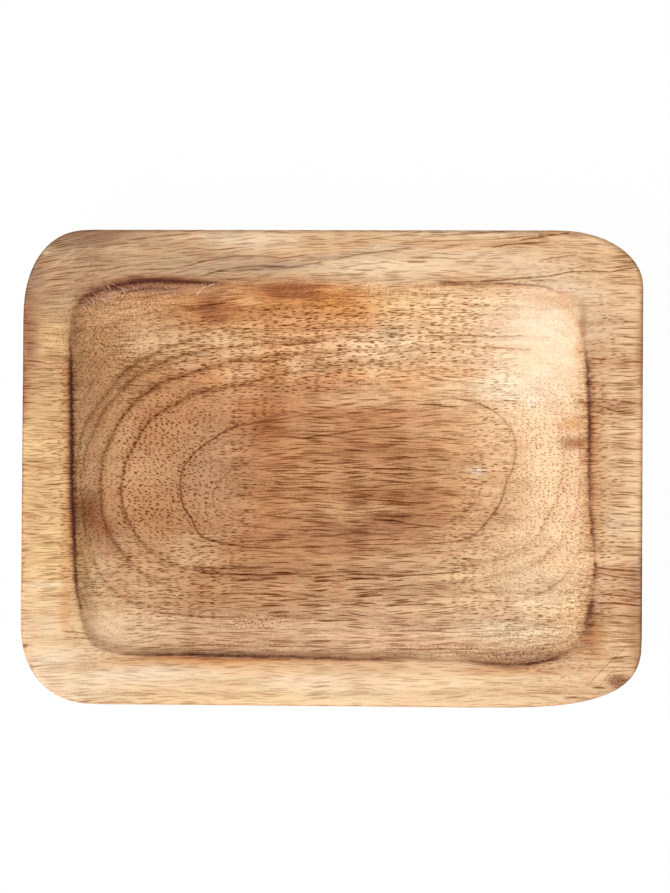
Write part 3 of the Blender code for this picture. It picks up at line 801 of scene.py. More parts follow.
    ("tan", 114, 572, 10, 8, 0.35), ("tan", 330, 632, 16, 7, 0.35), ("tan", 594, 500, 6, 20, 0.3),
    ("tan", 534, 500, 12, 16, 0.2), ("tan", 594, 368, 6, 12, 0.3),
    ("umber", 198, 416, 12, 10, 0.3), ("sand", 570, 597, 12, 10, 0.4),
    ("honey", 66, 596, 6, 12, 0.4), ("sand", 618, 652, 9, 14, 0.35),
    ("smoke", 228, 236, 20, 4, 0.25), ("amber", 65, 606, 5, 24, 0.35),
    ("cream", 618, 524, 12, 10, 0.3), ("sand", 318, 368, 12, 8, 0.35),
    ("umber", 258, 584, 12, 8, 0.3), ("umber", 90, 356, 8, 8, 0.3),
    ("sand", 580, 588, 14, 10, 0.3), ("sand", 402, 284, 16, 5, 0.35),
    ("umber", 246, 442, 12, 8, 0.25), ("sand", 126, 248, 14, 8, 0.3),
    # the sand spot at (438, 656) is painted light against the shade of the front wall
    ("sand", 378, 368, 14, 8, 0.3), ("sand", 438, 656, 14, 5, 0.4),
]
print(len(PATCHES), "patches")

# %% [markdown]
# ## Where the wood is torn, and how its pores come out
#
# In the corners of the hollow the cutter left short torn fibres, which hide the pores. They
# lean their own way in each place. Elsewhere two numbers say how the pores come out: run goes
# from 0, dots cut straight across, to 3, long grooves cut along, and depth says how dark.

# %% Torn places and pores
FUZZ_PATCHES = [  # where short torn fibres hide the pores: their lean in degrees, then the patch
    (48, 102, 345, 42, 54, 1.0), (60, 130, 302, 60, 18, 0.9), (75, 108, 612, 38, 48, 0.25),
    (-32, 545, 645, 60, 16, 0.75), (-50, 575, 615, 18, 36, 0.75), (20, 258, 622, 36, 8, 1.0),
    (-10, 470, 652, 80, 8, 0.7), (-60, 560, 310, 32, 34, 0.2), (30, 95, 400, 24, 40, 0.5),
    (0, 340, 290, 120, 8, 0.5), (20, 240, 648, 60, 8, 0.5), (60, 618, 681, 11, 8, 1.0),
    (40, 135, 286, 44, 6, 1.0), (-20, 515, 656, 42, 8, 1.0),
]
PORE_PATCHES = [  # run, depth, across, down, half width, half height
    (2.0, 0.45, 330, 685, 330, 30), (2.0, 0.6, 330, 252, 330, 34), (1.9, 0.75, 42, 450, 36, 170),
    (2.0, 0.3, 42, 640, 34, 46),
    (1.9, 0.85, 618, 450, 34, 230), (1.9, 0.9, 290, 303, 130, 16), (1.0, 1.0, 290, 355, 150, 42),
    (1.1, 0.95, 410, 325, 130, 34), (0.8, 0.9, 235, 430, 60, 60), (3.2, 0.97, 350, 475, 110, 56),
    (1.0, 0.9, 220, 500, 36, 50), (1.3, 0.85, 480, 475, 40, 80), (0.0, 1.0, 150, 480, 72, 110),
    (0.0, 0.75, 92, 460, 22, 150), (0.0, 0.7, 552, 480, 46, 160), (0.3, 0.15, 548, 330, 50, 50),
    (2.1, 1.0, 330, 595, 190, 38), (1.9, 0.8, 330, 640, 170, 18), (0.5, 0.8, 520, 570, 66, 50),
    (0.8, 0.85, 170, 575, 60, 40), (0.6, 0.25, 104, 625, 24, 24),
]

# %% [markdown]
# ## Lay the patches
#
# A clean ellipse of colour would look painted. So the place of each mesh point is shaken
# first, by a noise that is drawn out along the grain, and the patches run out in streaks.
# Small patches are shaken less, so that they stay where they belong. The same patches then
# spread the torn places, with their lean, and the run and depth of the pores.

# %% Cover of a patch
SHAKE_LONG, SHAKE_ACROSS = 16.0, 2.6  # in pixels
CALM_WIDTH = 50  # a patch narrower than this is shaken less
PATCH_EDGE, PATCH_FADE = 1.4, 0.7
spots = pixels(points[:, :2])


def drift(spot, length, width, offset=0.0):
    """A noise drawn out along the grain, at a spot in millimetres."""
    x, y, h = spot
    return noise.noise(Vector((x / length + offset, y / width, h / width)))


shake = np.array([[drift(spot, 9, 1.6), drift(spot, 12, 3, 40)] for spot in points / MM])
shake = shake * (SHAKE_LONG, SHAKE_ACROSS)


def cover(across, down, half_width, half_height, strength):
    """How much a soft patch covers each point: strength inside, fading over its edge."""
    shaken = spots + shake * min(1, half_width / CALM_WIDTH)
    off = ((shaken[:, 0] - across) / half_width) ** 2 + ((shaken[:, 1] - down) / half_height) ** 2
    return strength * np.exp(-off ** PATCH_EDGE * PATCH_FADE) * upper_side


print("points shaken by up to", np.round(np.abs(shake).max(0), 1), "pixels")

# %% [markdown]
# ## Tones, torn places and pores on the mesh
#
# The tones go into a colour that every point keeps. They are written a little lighter than
# they look, because the pores and streaks drawn over them darken the wood again. Where torn
# places overlap, a point takes the lean of the strongest.

# %% Patches kept on the mesh
TONE_LIFT = (1.03, 1.065, 1.09)
PLAIN_RUN, PLAIN_DEPTH = 2.0, 0.7  # of the pores where no patch lies
tone = np.tile(linear("tan"), (len(points), 1))
for name, *patch in PATCHES:
    tone += (linear(name) - tone) * cover(*patch)[:, None]
tone += (linear("honey") - tone) * (1 - upper_side)[:, None]
tone *= TONE_LIFT
colours = mesh.attributes.new("tone", "FLOAT_COLOR", "POINT")
colours.data.foreach_set("color", np.concatenate([tone, np.ones((len(tone), 1))], 1).reshape(-1))
fuzz_covers = np.array([cover(*patch[1:]) for patch in FUZZ_PATCHES])
leans = np.radians([patch[0] for patch in FUZZ_PATCHES])[fuzz_covers.argmax(0)]
keep("fuzz", fuzz_covers.max(0))
keep("fuzz_along", np.cos(leans))
keep("fuzz_across", np.sin(leans))
pore_run, pore_depth = np.full(len(points), PLAIN_RUN), np.full(len(points), PLAIN_DEPTH)
for run_here, depth_here, *patch in PORE_PATCHES:
    share = cover(*patch, 1.0)
    pore_run += (run_here - pore_run) * share
    pore_depth += (depth_here - pore_depth) * share
keep("pore_run", pore_run)
keep("pore_depth", pore_depth)
print("mean tone:", np.round(tone.mean(0), 2), "mean depth of pores:", round(pore_depth.mean(), 2))

# %% [markdown]
# ## The strongest grain lines
#
# Most pores can fall anywhere, but a few long dark ones catch the eye first, so those are
# placed one by one: how dark, how wide in pixels, and then the points of the course from
# left to right. The mesh is too coarse to paint a line on. But the distance to a line changes
# evenly from point to point, so each point keeps that, and the finish draws the sharp line.

# %% Grain lines
GRAIN_LINES = [  # dark, width, then across and down of each point
    # back rim
    (0.65, 1.4, 198, 277, 220, 270.5, 245, 266.5, 265, 265.5, 290, 267.5, 322, 262),
    (0.65, 1.3, 218, 271.5, 240, 270.5, 263, 269.5),
    (0.60, 1.3, 198, 262, 235, 256, 262, 256, 285, 258, 310, 254),
    (0.50, 1.2, 150, 270, 180, 268, 205, 261), (0.50, 1.5, 82, 248, 100, 245.5, 128, 243),
    (0.50, 1.1, 168, 251, 190, 248, 215, 250, 245, 247), (0.65, 1.3, 72, 268, 90, 266, 106, 265),
    (0.50, 1.2, 60, 262, 80, 258, 102, 256), (0.50, 1.3, 126, 240, 160, 236, 190, 233.5),
    (0.65, 1.3, 336, 258.5, 362, 254, 385, 251, 412, 247.5),
    (0.55, 1.2, 355, 240, 380, 238, 400, 235, 422, 231.5),
    (0.65, 1.3, 400, 243, 420, 241.5, 470, 240, 495, 239, 520, 237, 555, 234),
    (0.65, 1.3, 440, 236, 470, 233, 505, 231.5),
    (0.90, 1.4, 492, 247.5, 505, 245, 520, 243.5, 548, 242),
    (0.80, 1.8, 520, 240, 535, 238, 550, 235.5, 570, 233), (0.65, 1.3, 410, 257, 434, 258),
    (0.60, 2.0, 408, 262, 427, 261.5), (0.50, 1.8, 455, 262, 476, 261),
    (0.60, 1.2, 340, 268, 360, 264.5, 387, 262), (0.60, 1.2, 332, 276, 347, 274, 366, 273),
    (0.80, 1.5, 440, 282.5, 480, 281.5, 500, 280.5, 516, 278.5, 532, 277.5, 549, 276, 570, 272,
     590, 271, 610, 272, 636, 267), (0.65, 1.3, 530, 281, 543, 280.5),
    (0.65, 1.2, 540, 260, 560, 257, 577, 254.5), (0.55, 1.1, 586, 262, 604, 262.5),
    # scratches, pale where the number is below 0
    (-0.6, 1.7, 50, 268, 76, 249), (-0.5, 1.6, 62, 268, 92, 245), (-0.5, 1.6, 598, 465, 622, 452),
    (0.45, 1.6, 586, 687, 606, 666, 628, 645), (0.4, 1.5, 597, 689, 617, 666),
    # right rim
    (0.92, 1.6, 590, 358.5, 606, 359.5), (0.77, 1.3, 590, 363.5, 602, 363.5),
    (0.62, 1.2, 622, 361, 641, 361.5), (0.62, 1.3, 592, 398.5, 606, 399.5, 641, 404),
    (0.62, 1.3, 592, 404.5, 604, 407, 615, 411, 630, 413), (0.62, 1.3, 594, 412.5, 612, 414),
    (0.52, 1.1, 596, 385, 622, 386), (0.52, 1.1, 604, 393, 634, 394.5),
    (0.97, 1.6, 597, 567.5, 622, 570.5, 641, 571.5), (0.82, 1.3, 599, 573.5, 620, 577, 641, 580),
    (0.62, 1.2, 602, 579.5, 618, 580.5), (0.82, 1.4, 622, 590, 641, 593),
    (0.97, 1.4, 602, 594, 624, 596, 641, 598.5),
    (0.97, 1.4, 597, 603.5, 612, 602.5, 625, 604, 641, 606), (0.72, 1.2, 600, 608.5, 613, 608.5),
    (0.72, 1.2, 607, 621.5, 621, 622), (0.72, 1.5, 589, 613, 605, 614),
    (0.67, 1.4, 588, 625, 604, 626), (0.62, 1.1, 597, 631, 614, 634),
    (0.62, 1.1, 597, 641, 626, 642),
    # left rim
    (0.6, 1.3, 24, 323.5, 39, 324), (0.6, 1.2, 24, 330, 37, 331), (0.55, 1.2, 24, 343, 41, 344.5),
    (0.75, 1.5, 24, 360, 46, 362.5), (0.6, 1.2, 50, 356, 68, 357.5), (0.5, 1.2, 24, 368, 41, 370),
    (0.5, 1.2, 44, 373, 67, 375.5), (0.5, 1.1, 24, 388, 44, 390), (0.5, 1.1, 24, 423, 36, 424.5),
    (0.55, 1.2, 24, 461, 40, 462), (0.55, 1.1, 34, 466, 50, 469), (0.5, 1.2, 24, 513, 44, 517),
    (0.5, 1.2, 24, 533, 44, 535.5), (0.6, 1.3, 44, 543, 68, 542.5), (0.45, 1.2, 24, 596, 44, 597),
    (0.6, 1.4, 62, 631, 88, 633.5), (0.6, 1.3, 66, 637, 92, 638.5),
    # floor
    (0.75, 1.4, 302, 438, 320, 435.5, 345, 432, 365, 429, 402, 426),
    (0.6, 1.2, 285, 436.5, 300, 438.5, 320, 439), (0.8, 1.4, 316, 416.5, 342, 416.5),
    (0.6, 1.3, 372, 410, 385, 409, 408, 409.5), (0.6, 1.1, 418, 404, 442, 405),
    (0.7, 1.3, 424, 425, 441, 422.5), (0.6, 1.1, 402, 441, 422, 443),
    (0.6, 1.2, 378, 446, 400, 448, 440, 450.5), (0.8, 1.5, 384, 460, 404, 458.5),
    (0.85, 1.4, 345, 467.5, 370, 469, 420, 470, 438, 472),
    (0.6, 1.2, 322, 465, 345, 463, 367, 462),
    (0.85, 1.4, 370, 480, 395, 481.5, 410, 483.5, 441, 483),
    (0.65, 1.2, 285, 488.5, 300, 488, 327, 491), (0.75, 1.3, 342, 492.5, 355, 493.5, 374, 496.5),
    (0.9, 1.5, 363, 500, 380, 501, 400, 503, 432, 504),
    (0.75, 1.4, 280, 499, 293, 499, 307, 502.5), (0.85, 1.5, 266, 516, 280, 518, 302, 519.5),
    (0.7, 1.4, 362, 515.5, 385, 516.5, 427, 516),
    (0.8, 1.5, 372, 520.5, 395, 521.5, 410, 525, 442, 528.5), (0.6, 1.3, 300, 528, 332, 526),
    (0.65, 1.4, 238, 527, 258, 528, 274, 530),
    (0.75, 1.5, 310, 537.5, 335, 536.5, 352, 534, 392, 535.5),
    (0.7, 1.3, 238, 542.5, 262, 541.5, 284, 541), (0.75, 1.6, 345, 543.5, 372, 541, 400, 540.5),
    # front slope
    (0.8, 1.3, 192, 568, 220, 569.5, 245, 569, 272, 568),
    (0.85, 1.5, 192, 571, 205, 574.5, 260, 576, 298, 575),
    (0.9, 1.5, 238, 581, 260, 580.5, 276, 579.5), (0.6, 1.2, 298, 577, 330, 573, 348, 573),
    (0.85, 1.4, 345, 581, 362, 580, 382, 579.5),
    (0.85, 1.6, 350, 575, 400, 577, 430, 575.5, 463, 573),
    (0.7, 1.3, 222, 595, 245, 594, 277, 595.5), (0.6, 1.3, 355, 591, 380, 590.5, 402, 591.5),
    (0.85, 1.6, 360, 597.5, 384, 596), (0.8, 1.5, 280, 601.5, 307, 600),
    (0.7, 1.3, 345, 602.5, 364, 601.5), (0.8, 1.5, 260, 608, 275, 606.5, 286, 606),
    (0.85, 1.4, 298, 606, 330, 606.5), (0.75, 1.4, 342, 606, 360, 605.5),
    (0.8, 1.4, 388, 606.5, 417, 605.5, 442, 604.5),
    (0.6, 1.5, 153, 613, 175, 615, 195, 617, 242, 618.5), (0.75, 1.4, 334, 621.5, 360, 621),
    (0.55, 1.3, 208, 633, 235, 633.5, 264, 632), (0.6, 1.2, 184, 646, 197, 646),
    (0.5, 1.2, 320, 650, 372, 648), (0.6, 1.3, 378, 636, 402, 636),
    (0.65, 1.6, 400, 631.5, 446, 631.5), (0.5, 1.2, 482, 632, 526, 631),
    (0.6, 1.4, 400, 650, 430, 650, 480, 649.5), (0.5, 1.2, 474, 602, 504, 602.5),
    # front rim
    (0.55, 1.3, 535, 671, 562, 674.5), (0.5, 1.6, 484, 682, 512, 683),
    (0.8, 2.2, 592, 687, 605, 688), (0.8, 2.0, 564, 698, 577, 697),
    (0.5, 1.5, 420, 674.5, 432, 674),
    # back slope
    (0.7, 1.4, 153, 318, 182, 315.5), (0.85, 1.8, 198, 306, 224, 302.5),
    (0.6, 1.4, 178, 305.5, 194, 306), (0.6, 1.3, 188, 332, 205, 330, 222, 327.5, 242, 327),
    (0.65, 1.2, 298, 327, 320, 327.5, 374, 325.5), (0.75, 2.2, 281, 344, 300, 343, 320, 341),
    (0.75, 2.2, 250, 360.5, 277, 361), (0.6, 1.4, 318, 357.5, 347, 353),
    (0.75, 1.8, 318, 365, 338, 365), (0.65, 1.4, 298, 377.5, 320, 375, 342, 371),
    (0.6, 1.6, 386, 351.5, 414, 350.5), (0.5, 1.6, 432, 335, 460, 334, 500, 336, 524, 335),
    (0.4, 1.8, 448, 341.5, 478, 341), (0.4, 1.5, 455, 344, 480, 346.5, 532, 349),
    (0.5, 1.4, 420, 372, 440, 379, 487, 383), (0.6, 1.4, 420, 403.5, 437, 404, 460, 408.5),
    (0.5, 1.4, 455, 397, 480, 403, 497, 411), (0.5, 1.4, 170, 351, 190, 347, 208, 343),
    (0.5, 1.4, 160, 366, 180, 361, 200, 358),
]
print(len(GRAIN_LINES), "grain lines")

# %% [markdown]
# ## Distances to the grain lines
#
# Each point can keep the distance to one line only, and where two lines run close together
# it would have to choose. So the lines are dealt out to a few sets, in which no two
# come near each other, and every point keeps one distance and one darkness for each set.

# %% Sets of grain lines
LINE_ROOM = 4.6  # how far in pixels from a line its distance is kept
LINE_FADE = 5  # in pixels, at both ends of a line
CLEAR = 11  # two lines of one set keep this far apart
NO_LINE = 9.0  # a distance at which nothing is drawn
LOOKS = 20  # places at which two lines are compared
LINE_SETS = 4


def course_at(course, across):
    """How far down a line runs at each place across."""
    return np.interp(across, course[0::2], course[1::2])


def crowds(one, other):
    """Whether two lines run so close that a point between them could take the wrong one."""
    low, high = max(one[0], other[0]) - CLEAR, min(one[-2], other[-2]) + CLEAR
    across = np.linspace(low, high, LOOKS)
    return low < high and np.abs(course_at(one, across) - course_at(other, across)).min() < CLEAR


line_sets = [[] for n in range(LINE_SETS)]
for dark, width, *course in GRAIN_LINES:
    free = [s for s in line_sets if not any(crowds(course, kept[2]) for kept in s)]
    if free:
        free[0].append((dark, width, course))
    else:
        print("left out", course)
for number, lines in enumerate(line_sets):
    gap, dark_here = np.full(len(points), NO_LINE), np.zeros(len(points))
    for dark, width, course in lines:
        off = spots[:, 1] - course_at(course, spots[:, 0])
        ends = np.minimum(spots[:, 0] - course[0], course[-2] - spots[:, 0])
        fade = np.clip(ends / LINE_FADE + 0.5, 0, 1)
        nearer = (np.abs(off) < np.minimum(np.abs(gap), LINE_ROOM)) & (fade > 0)
        gap[nearer] = off[nearer] / width
        dark_here[nearer] = (dark * fade * upper_side)[nearer]
    keep(f"line_gap_{number}", gap)
    keep(f"line_dark_{number}", dark_here)
print("grain lines in each set:", [len(lines) for lines in line_sets])

# %% [markdown]
# ## Grain that runs at a slant
#
# In the back left corner the grain isn't level: it climbs to the right until the middle of
# the rim. Each point keeps how far the fibres have climbed there, and the finish takes
# that off before it looks up a fibre.

# %% Climb of the grain
CLIMB = 0.15
CLIMB_START, CLIMB_END = -62 * MM, 16 * MM
BACK_RIM_START, BACK_RIM_FADE = 24 * MM, 14 * MM
rise = np.clip(points[:, 0], CLIMB_START, CLIMB_END) - CLIMB_START
climb = CLIMB * (rise - rise ** 2 / 2 / (CLIMB_END - CLIMB_START))
climb -= climb.max()
on_back_rim = np.clip((points[:, 1] - BACK_RIM_START) / BACK_RIM_FADE, 0, 1)
on_back_rim = on_back_rim ** 2 * (3 - 2 * on_back_rim)
keep("climb_mm", climb * on_back_rim / MM)
print("the grain climbs by", round(-climb.min() / MM, 1), "mm at most")

# %% [markdown]
# ## A small language for finishes
#
# A finish is a graph of nodes. Drawn by hand it is easy to read, but in a script every link
# takes a line. Two small classes make it short. The first, `Wire`, stands for one output of a
# node, and arithmetic on it adds Math nodes, so a mask reads like a formula.

# %% Wire
class Wire:
    """One output of a node, with arithmetic that adds Math nodes."""

    def __init__(self, finish, socket):
        self.finish, self.socket = finish, socket

    def math(self, operation, *others):
        values = dict(enumerate((self, *others)))
        return self.finish.node("ShaderNodeMath", {"operation": operation}, values)

    def __add__(self, other):
        return self.math("ADD", other)

    def __mul__(self, other):
        return self.math("MULTIPLY", other)

    def __sub__(self, other):
        return self.math("SUBTRACT", other)

    def __truediv__(self, other):
        return self.math("DIVIDE", other)

    def __rsub__(self, other):
        return self.finish.node("ShaderNodeMath", {"operation": "SUBTRACT"}, {0: other, 1: self})

    def __rtruediv__(self, other):
        return self.finish.node("ShaderNodeMath", {"operation": "DIVIDE"}, {0: other, 1: self})

    __radd__, __rmul__ = __add__, __mul__

    def least(self, other):
        return self.math("MINIMUM", other)

    def most(self, other):
        return self.math("MAXIMUM", other)

    def step(self, low, high):
        """0 up to low, 1 from high on, and a smooth rise between them."""
        return self.finish.node("ShaderNodeMapRange", {"interpolation_type": "SMOOTHSTEP"},
                                {0: self, 1: low, 2: high, 3: 0.0, 4: 1.0})

    def bell(self, width):
        """1 at zero and falling away to both sides over about that width."""
        share = self / width
        return (share * share * -1.0).math("EXPONENT")

    def held(self, low=0.0, high=1.0):
        """The value, kept between two limits."""
        return self.most(low).least(high)


# %% [markdown]
# ## One class for one material
#
# `Finish` makes one material, and its `node` adds any node from its type, its settings and
# the values or wires of its sockets. The other methods are the few nodes that this dish
# needs again and again. The part has three finishes: wood, raw wood and rubber.

# %% Finish for one material
class Finish:
    """Builds one material out of nodes."""

    def __init__(self, name):
        self.material = bpy.data.materials.new(name)
        self.material.use_nodes = True
        self.tree = self.material.node_tree
        self.tree.nodes.clear()

    def node(self, kind, settings={}, sockets={}, output=0):
        """Adds a node and gives the wire of one of its outputs."""
        made = self.tree.nodes.new(kind)
        for name, value in settings.items():
            setattr(made, name, value)
        for key, value in sockets.items():
            if isinstance(value, Wire):
                self.tree.links.new(value.socket, made.inputs[key])
            else:
                made.inputs[key].default_value = value
        return Wire(self, made.outputs[output]) if made.outputs else made

    def number(self, name):
        """A number stored on the mesh."""
        return self.node("ShaderNodeAttribute", {"attribute_name": name}, output="Fac")

    def position(self):
        """The place on the object, in metres."""
        return self.node("ShaderNodeTexCoord", output="Object")

    def vector(self, x, y, z):
        """Three numbers as one vector."""
        return self.node("ShaderNodeCombineXYZ", {}, {0: x, 1: y, 2: z})

    def noise(self, vector, detail=2.0, roughness=0.5):
        """A cloudy noise between 0 and 1."""
        return self.node("ShaderNodeTexNoise", {},
                         {"Vector": vector, "Scale": 1.0, "Detail": detail,
                          "Roughness": roughness}, "Fac")

    def waver(self, vector, detail=2.0, roughness=0.5):
        """The same noise, swinging about zero by up to a half."""
        return self.noise(vector, detail, roughness) - 0.5

    def cells(self, vector):
        """Distance from the nearest centre of a flat cell, and two numbers of the cell's own."""
        distance = self.node("ShaderNodeTexVoronoi", {"voronoi_dimensions": "2D"},
                             {"Vector": vector, "Scale": 1.0, "Randomness": 0.85})
        colour = Wire(self, distance.socket.node.outputs["Color"])
        parts = self.node("ShaderNodeSeparateColor", {}, {0: colour})
        return distance, parts, Wire(self, parts.socket.node.outputs[1])

    def scaled(self, vector, factor):
        """A vector or a colour times a number."""
        return self.node("ShaderNodeVectorMath", {"operation": "SCALE"},
                         {0: vector, "Scale": factor})

    def blend(self, colour, other, share):
        """Two colours mixed, with share of the second."""
        return self.node("ShaderNodeMix", {"data_type": "RGBA"}, {0: share, 6: colour, 7: other}, 2)

    def stain(self, colour, other, share):
        """A colour multiplied by another, by share. It darkens and warms as a stain does."""
        return self.node("ShaderNodeMix", {"data_type": "RGBA", "blend_type": "MULTIPLY"},
                         {0: share, 6: colour, 7: other}, 2)

    def bump(self, height, strength, distance):
        """Small relief, as a normal for the shader. The distance is in metres."""
        return self.node("ShaderNodeBump", {}, {"Strength": strength, "Distance": distance,
                                                "Height": height})

    def surface(self, shader):
        """Ends the material with its shader."""
        self.node("ShaderNodeOutputMaterial", {}, {"Surface": shader})
        print(self.material.name, "has", len(self.tree.nodes), "nodes")


# %% [markdown]
# ## Wood, part one: where the fibres run
#
# Seen from above, a fibre is a line along the dish that wanders a little. Over the two long
# sides the line is followed down, so the grain wraps round the board without a break. All
# lengths are in millimetres. A second, finer shake keeps the pores from standing in rows.

# %% Fibre coordinates
WANDER, LEAN = 3.0, 0.45  # how far a fibre strays, in millimetres
wood = Finish("scorched_hardwood")
wood_place = wood.position()
split = [wood.node("ShaderNodeSeparateXYZ", {}, {0: wood_place}, n) for n in range(3)]
along, across, up = (part * (1 / MM) for part in split)
surface = wood.number("surface_across_mm")
wander = wood.waver(wood.vector(along / 26, surface / 8, 0.0), 1.0)
lean = wood.waver(wood.vector(along / 8, surface / 2.0, 3.0), 1.0)
fibres = surface - wood.number("climb_mm") + wander * WANDER + lean * LEAN
jitter = wood.waver(wood.vector(along / 0.9, surface / 0.6, up / 0.9), 1.0)
end_face = wood.number("end_face")
end_wall_here = wood.number("end_wall")

# %% [markdown]
# ## Wood, part two: the rings
#
# The number stored on the mesh is whole where a ring's dark line lies. Its fraction is
# measured from the nearest whole number. Rings lie close together on the steep sides and
# far apart on the floor, so that fraction is multiplied by the gap between rings: the line
# then has the same width everywhere. Behind each line the wood is a little darker. A fine
# shake breaks the line up, because in wood it is a row of small pores and not a stroke.

# %% Ring lines
RING_STRAY = 0.07  # in rings
DUSK_WIDTH = 0.9  # in millimetres
ring_shake = wood.waver(wood.vector(along / 9, across / 4, up / 4), 3.0)
counted = wood.number("ring_count") + ring_shake * RING_STRAY
rough_line = wood.waver(wood.vector(along / 0.7, across / 0.45, up / 0.45), 1.0)
ring_soft = wood.number("ring_soft")
from_line = ((counted + 0.5).math("FRACT") - 0.5) * wood.number("ring_gap_mm")
from_line = from_line + rough_line * (ring_soft * 0.25 + 0.2)
depth = wood.number("pore_depth")
ring_room = depth * 0.7 + 0.38
strength = wood.number("ring_line") * ring_room
patchy = wood.noise(wood.vector(along / 0.6, across / 0.5, up / 0.5), 2.0).step(0.4, 0.6)
broken = 1.1 - ring_soft * (1 - patchy) * 0.7
ring_line = from_line.bell(ring_soft * 0.16 + 0.15) * strength * broken
ring_dusk = from_line.bell(DUSK_WIDTH) * strength * ring_soft
ring_band = wood.waver(wood.vector(counted * 1.3, 7.0, 3.0), 3.0)

# %% [markdown]
# ## Wood, part three: how many pores
#
# The large pores are the tubes that once carried water. Cut along, each one is a fine dark
# groove; on a slope it is a dash, and cut across it is a dot. They crowd together in some
# layers of the wood and are rare in others, and they show more near the burned ends, where
# dirt has settled in them. One number, density, holds all of that.

# %% Density of the pores
mouth_mm = wood.number("from_mouth_mm")
edge_mm = wood.number("from_edge_mm")
fuzz = wood.number("fuzz")
on_rim = mouth_mm.step(-0.3, 0.8)
pore_room = wood.waver(wood.vector(along / 9, surface / 2.4, 6.0), 2.0)
near_ends = (edge_mm.bell(4.0) * 0.5 + mouth_mm.bell(2.5) * 0.3) * end_wall_here
density = depth * 0.4 + 0.57 + pore_room * 0.95 + near_ends + ring_dusk * 0.5
run = wood.number("pore_run") + lean * 1.2
past_dots, past_dashes, past_streaks = (run.step(n + 0.3, n + 0.8) for n in range(3))

# %% [markdown]
# ## Wood, part four: the pores themselves
#
# A Voronoi texture gives every cell one centre, and the distance to it marks a pore as long
# and as wide as the cell is. Each cell also has numbers of its own, which make one pore
# dark, the next one pale, and leave the next one out. Seven sets of cells, from dots to
# long grooves and fine hairs, take turns by run. On the end faces the pores are round.

# %% Pores
PORE_SETS = {  # length and width of a cell, radius, growth, offset, shake, slant
    "dots": (1.14, 0.48, 0.23, 0.11, 0.0, 0.6, 0.18),
    "small dots": (0.9, 0.42, 0.22, 0.12, 120.0, 0.6, 0.1),
    "dashes": (2.2, 0.43, 0.195, 0.13, 20.0, 0.3, -0.04),
    "streaks": (9.0, 0.42, 0.15, 0.14, 40.0, 0.1, 0.0),
    "grooves": (17.0, 0.46, 0.14, 0.15, 60.0, 0.1, 0.0),
    "fine grooves": (9.0, 0.36, 0.16, 0.14, 100.0, 0.1, 0.0),
    "hairs": (8.0, 0.30, 0.15, 0.18, 80.0, 0.1, 0.0),
}


def pore_set(length, width, radius, growth, offset, shake, slant):
    """A mask that is 1 on one pore in each cell of that length and width, in millimetres."""
    place_in = wood.vector(along / length + offset,
                           (fibres + along * slant + jitter * shake) / width, 0.0)
    distance, chance, order = wood.cells(place_in)
    share = distance / (chance * growth + radius + ring_dusk * 0.05)
    return (1 - share.step(0.7, 1.05)) * (chance * 0.3 + 0.75) * (density - order).step(0.0, 0.1)


made = {name: pore_set(*shape) for name, shape in PORE_SETS.items()}
coarse = depth.step(0.76, 0.9)
dots = (made["dots"] * coarse + made["small dots"] * (1 - coarse)) * (1 - past_dots)
dashes = made["dashes"] * (past_dots - past_dashes)
streaks = made["streaks"] * (past_dashes - past_streaks)
grooves, fine_grooves = made["grooves"] * past_streaks, made["fine grooves"] * past_streaks
hairs = made["hairs"] * past_dots
END_CELL = 0.6  # from pore to pore on the end faces, in millimetres
end_place = wood.vector(across / END_CELL, up / END_CELL, 0.0)
end_distance, end_chance = wood.cells(end_place)[:2]
end_dots = 1 - (end_distance / (end_chance * 0.15 + 0.16)).step(0.5, 1.0)
pores = (dots + dashes + streaks + grooves + fine_grooves) * (1 - fuzz * 0.55) * depth
pores = pores * (1 - end_face) + end_dots * end_face * 0.8
print(len(made), "sets of pores")

# %% [markdown]
# ## Wood, part five: fibres
#
# Between the pores the wood is smooth, with faint streaks of lighter and darker fibre in
# several widths. In the corners of the hollow the cutter went against the grain and
# left short torn fibres, which show as fine dark and light specks. They lean their own way,
# so their noise is turned by the lean that the mesh keeps.

# %% Fibres
fine_fibre = wood.waver(wood.vector(along / 4, fibres / 0.26, 1.0), 1.0)
fibre = wood.waver(wood.vector(along / 16, fibres / 0.8, 9.0), 3.0)
broad_fibre = wood.waver(wood.vector(along / 30, fibres / 3.0, 4.0), 2.0)
grit = wood.waver(wood.vector(along / 0.34, across / 0.28, up / 0.28), 2.0, 0.6)
fuzz_along, fuzz_across = wood.number("fuzz_along"), wood.number("fuzz_across")
hair_along = along * fuzz_along + across * fuzz_across
hair_across = across * fuzz_along - along * fuzz_across
torn = wood.waver(wood.vector(hair_along / 0.5, (hair_across + jitter * 0.6) / 0.3, 5.0), 1.0)
lifted = wood.waver(wood.vector(hair_along / 0.8, (hair_across + jitter * 0.4) / 0.26, 15.0), 1.0)

# %% [markdown]
# ## Wood, part six: the long grain lines
#
# The listed lines are drawn from the distances on the mesh. A noise
# along the grain makes each line thicker and thinner, moves it a little and breaks it up,
# so that it looks like a row of opened pores and not like a pen stroke.

# %% Draw the grain lines
LINE_WIDTH = 0.52  # in widths of the line
line_break = wood.waver(wood.vector(along / 2.2, fibres / 0.8, 7.0), 2.0)
grain_line = 0
for number in range(LINE_SETS):
    line_gap = wood.number(f"line_gap_{number}") + (line_break + jitter) * 0.3
    line_dark = wood.number(f"line_dark_{number}") * (1.15 + line_break * 1.4)
    grain_line = line_gap.bell(LINE_WIDTH + line_break * 0.4) * line_dark + grain_line

# %% [markdown]
# ## Wood, part seven: the scorched mouth and its painted shade
#
# The burn is darkest on the arris and browns off to both sides. On the hollow side its dark
# band also paints the shade of the steep wall just inside the mouth. At the two ends of the
# hollow the fibres end on the wall and carried the heat away along the grain, so the burn
# runs out there in small spikes. The outer edge has taken up dirt in the same way.

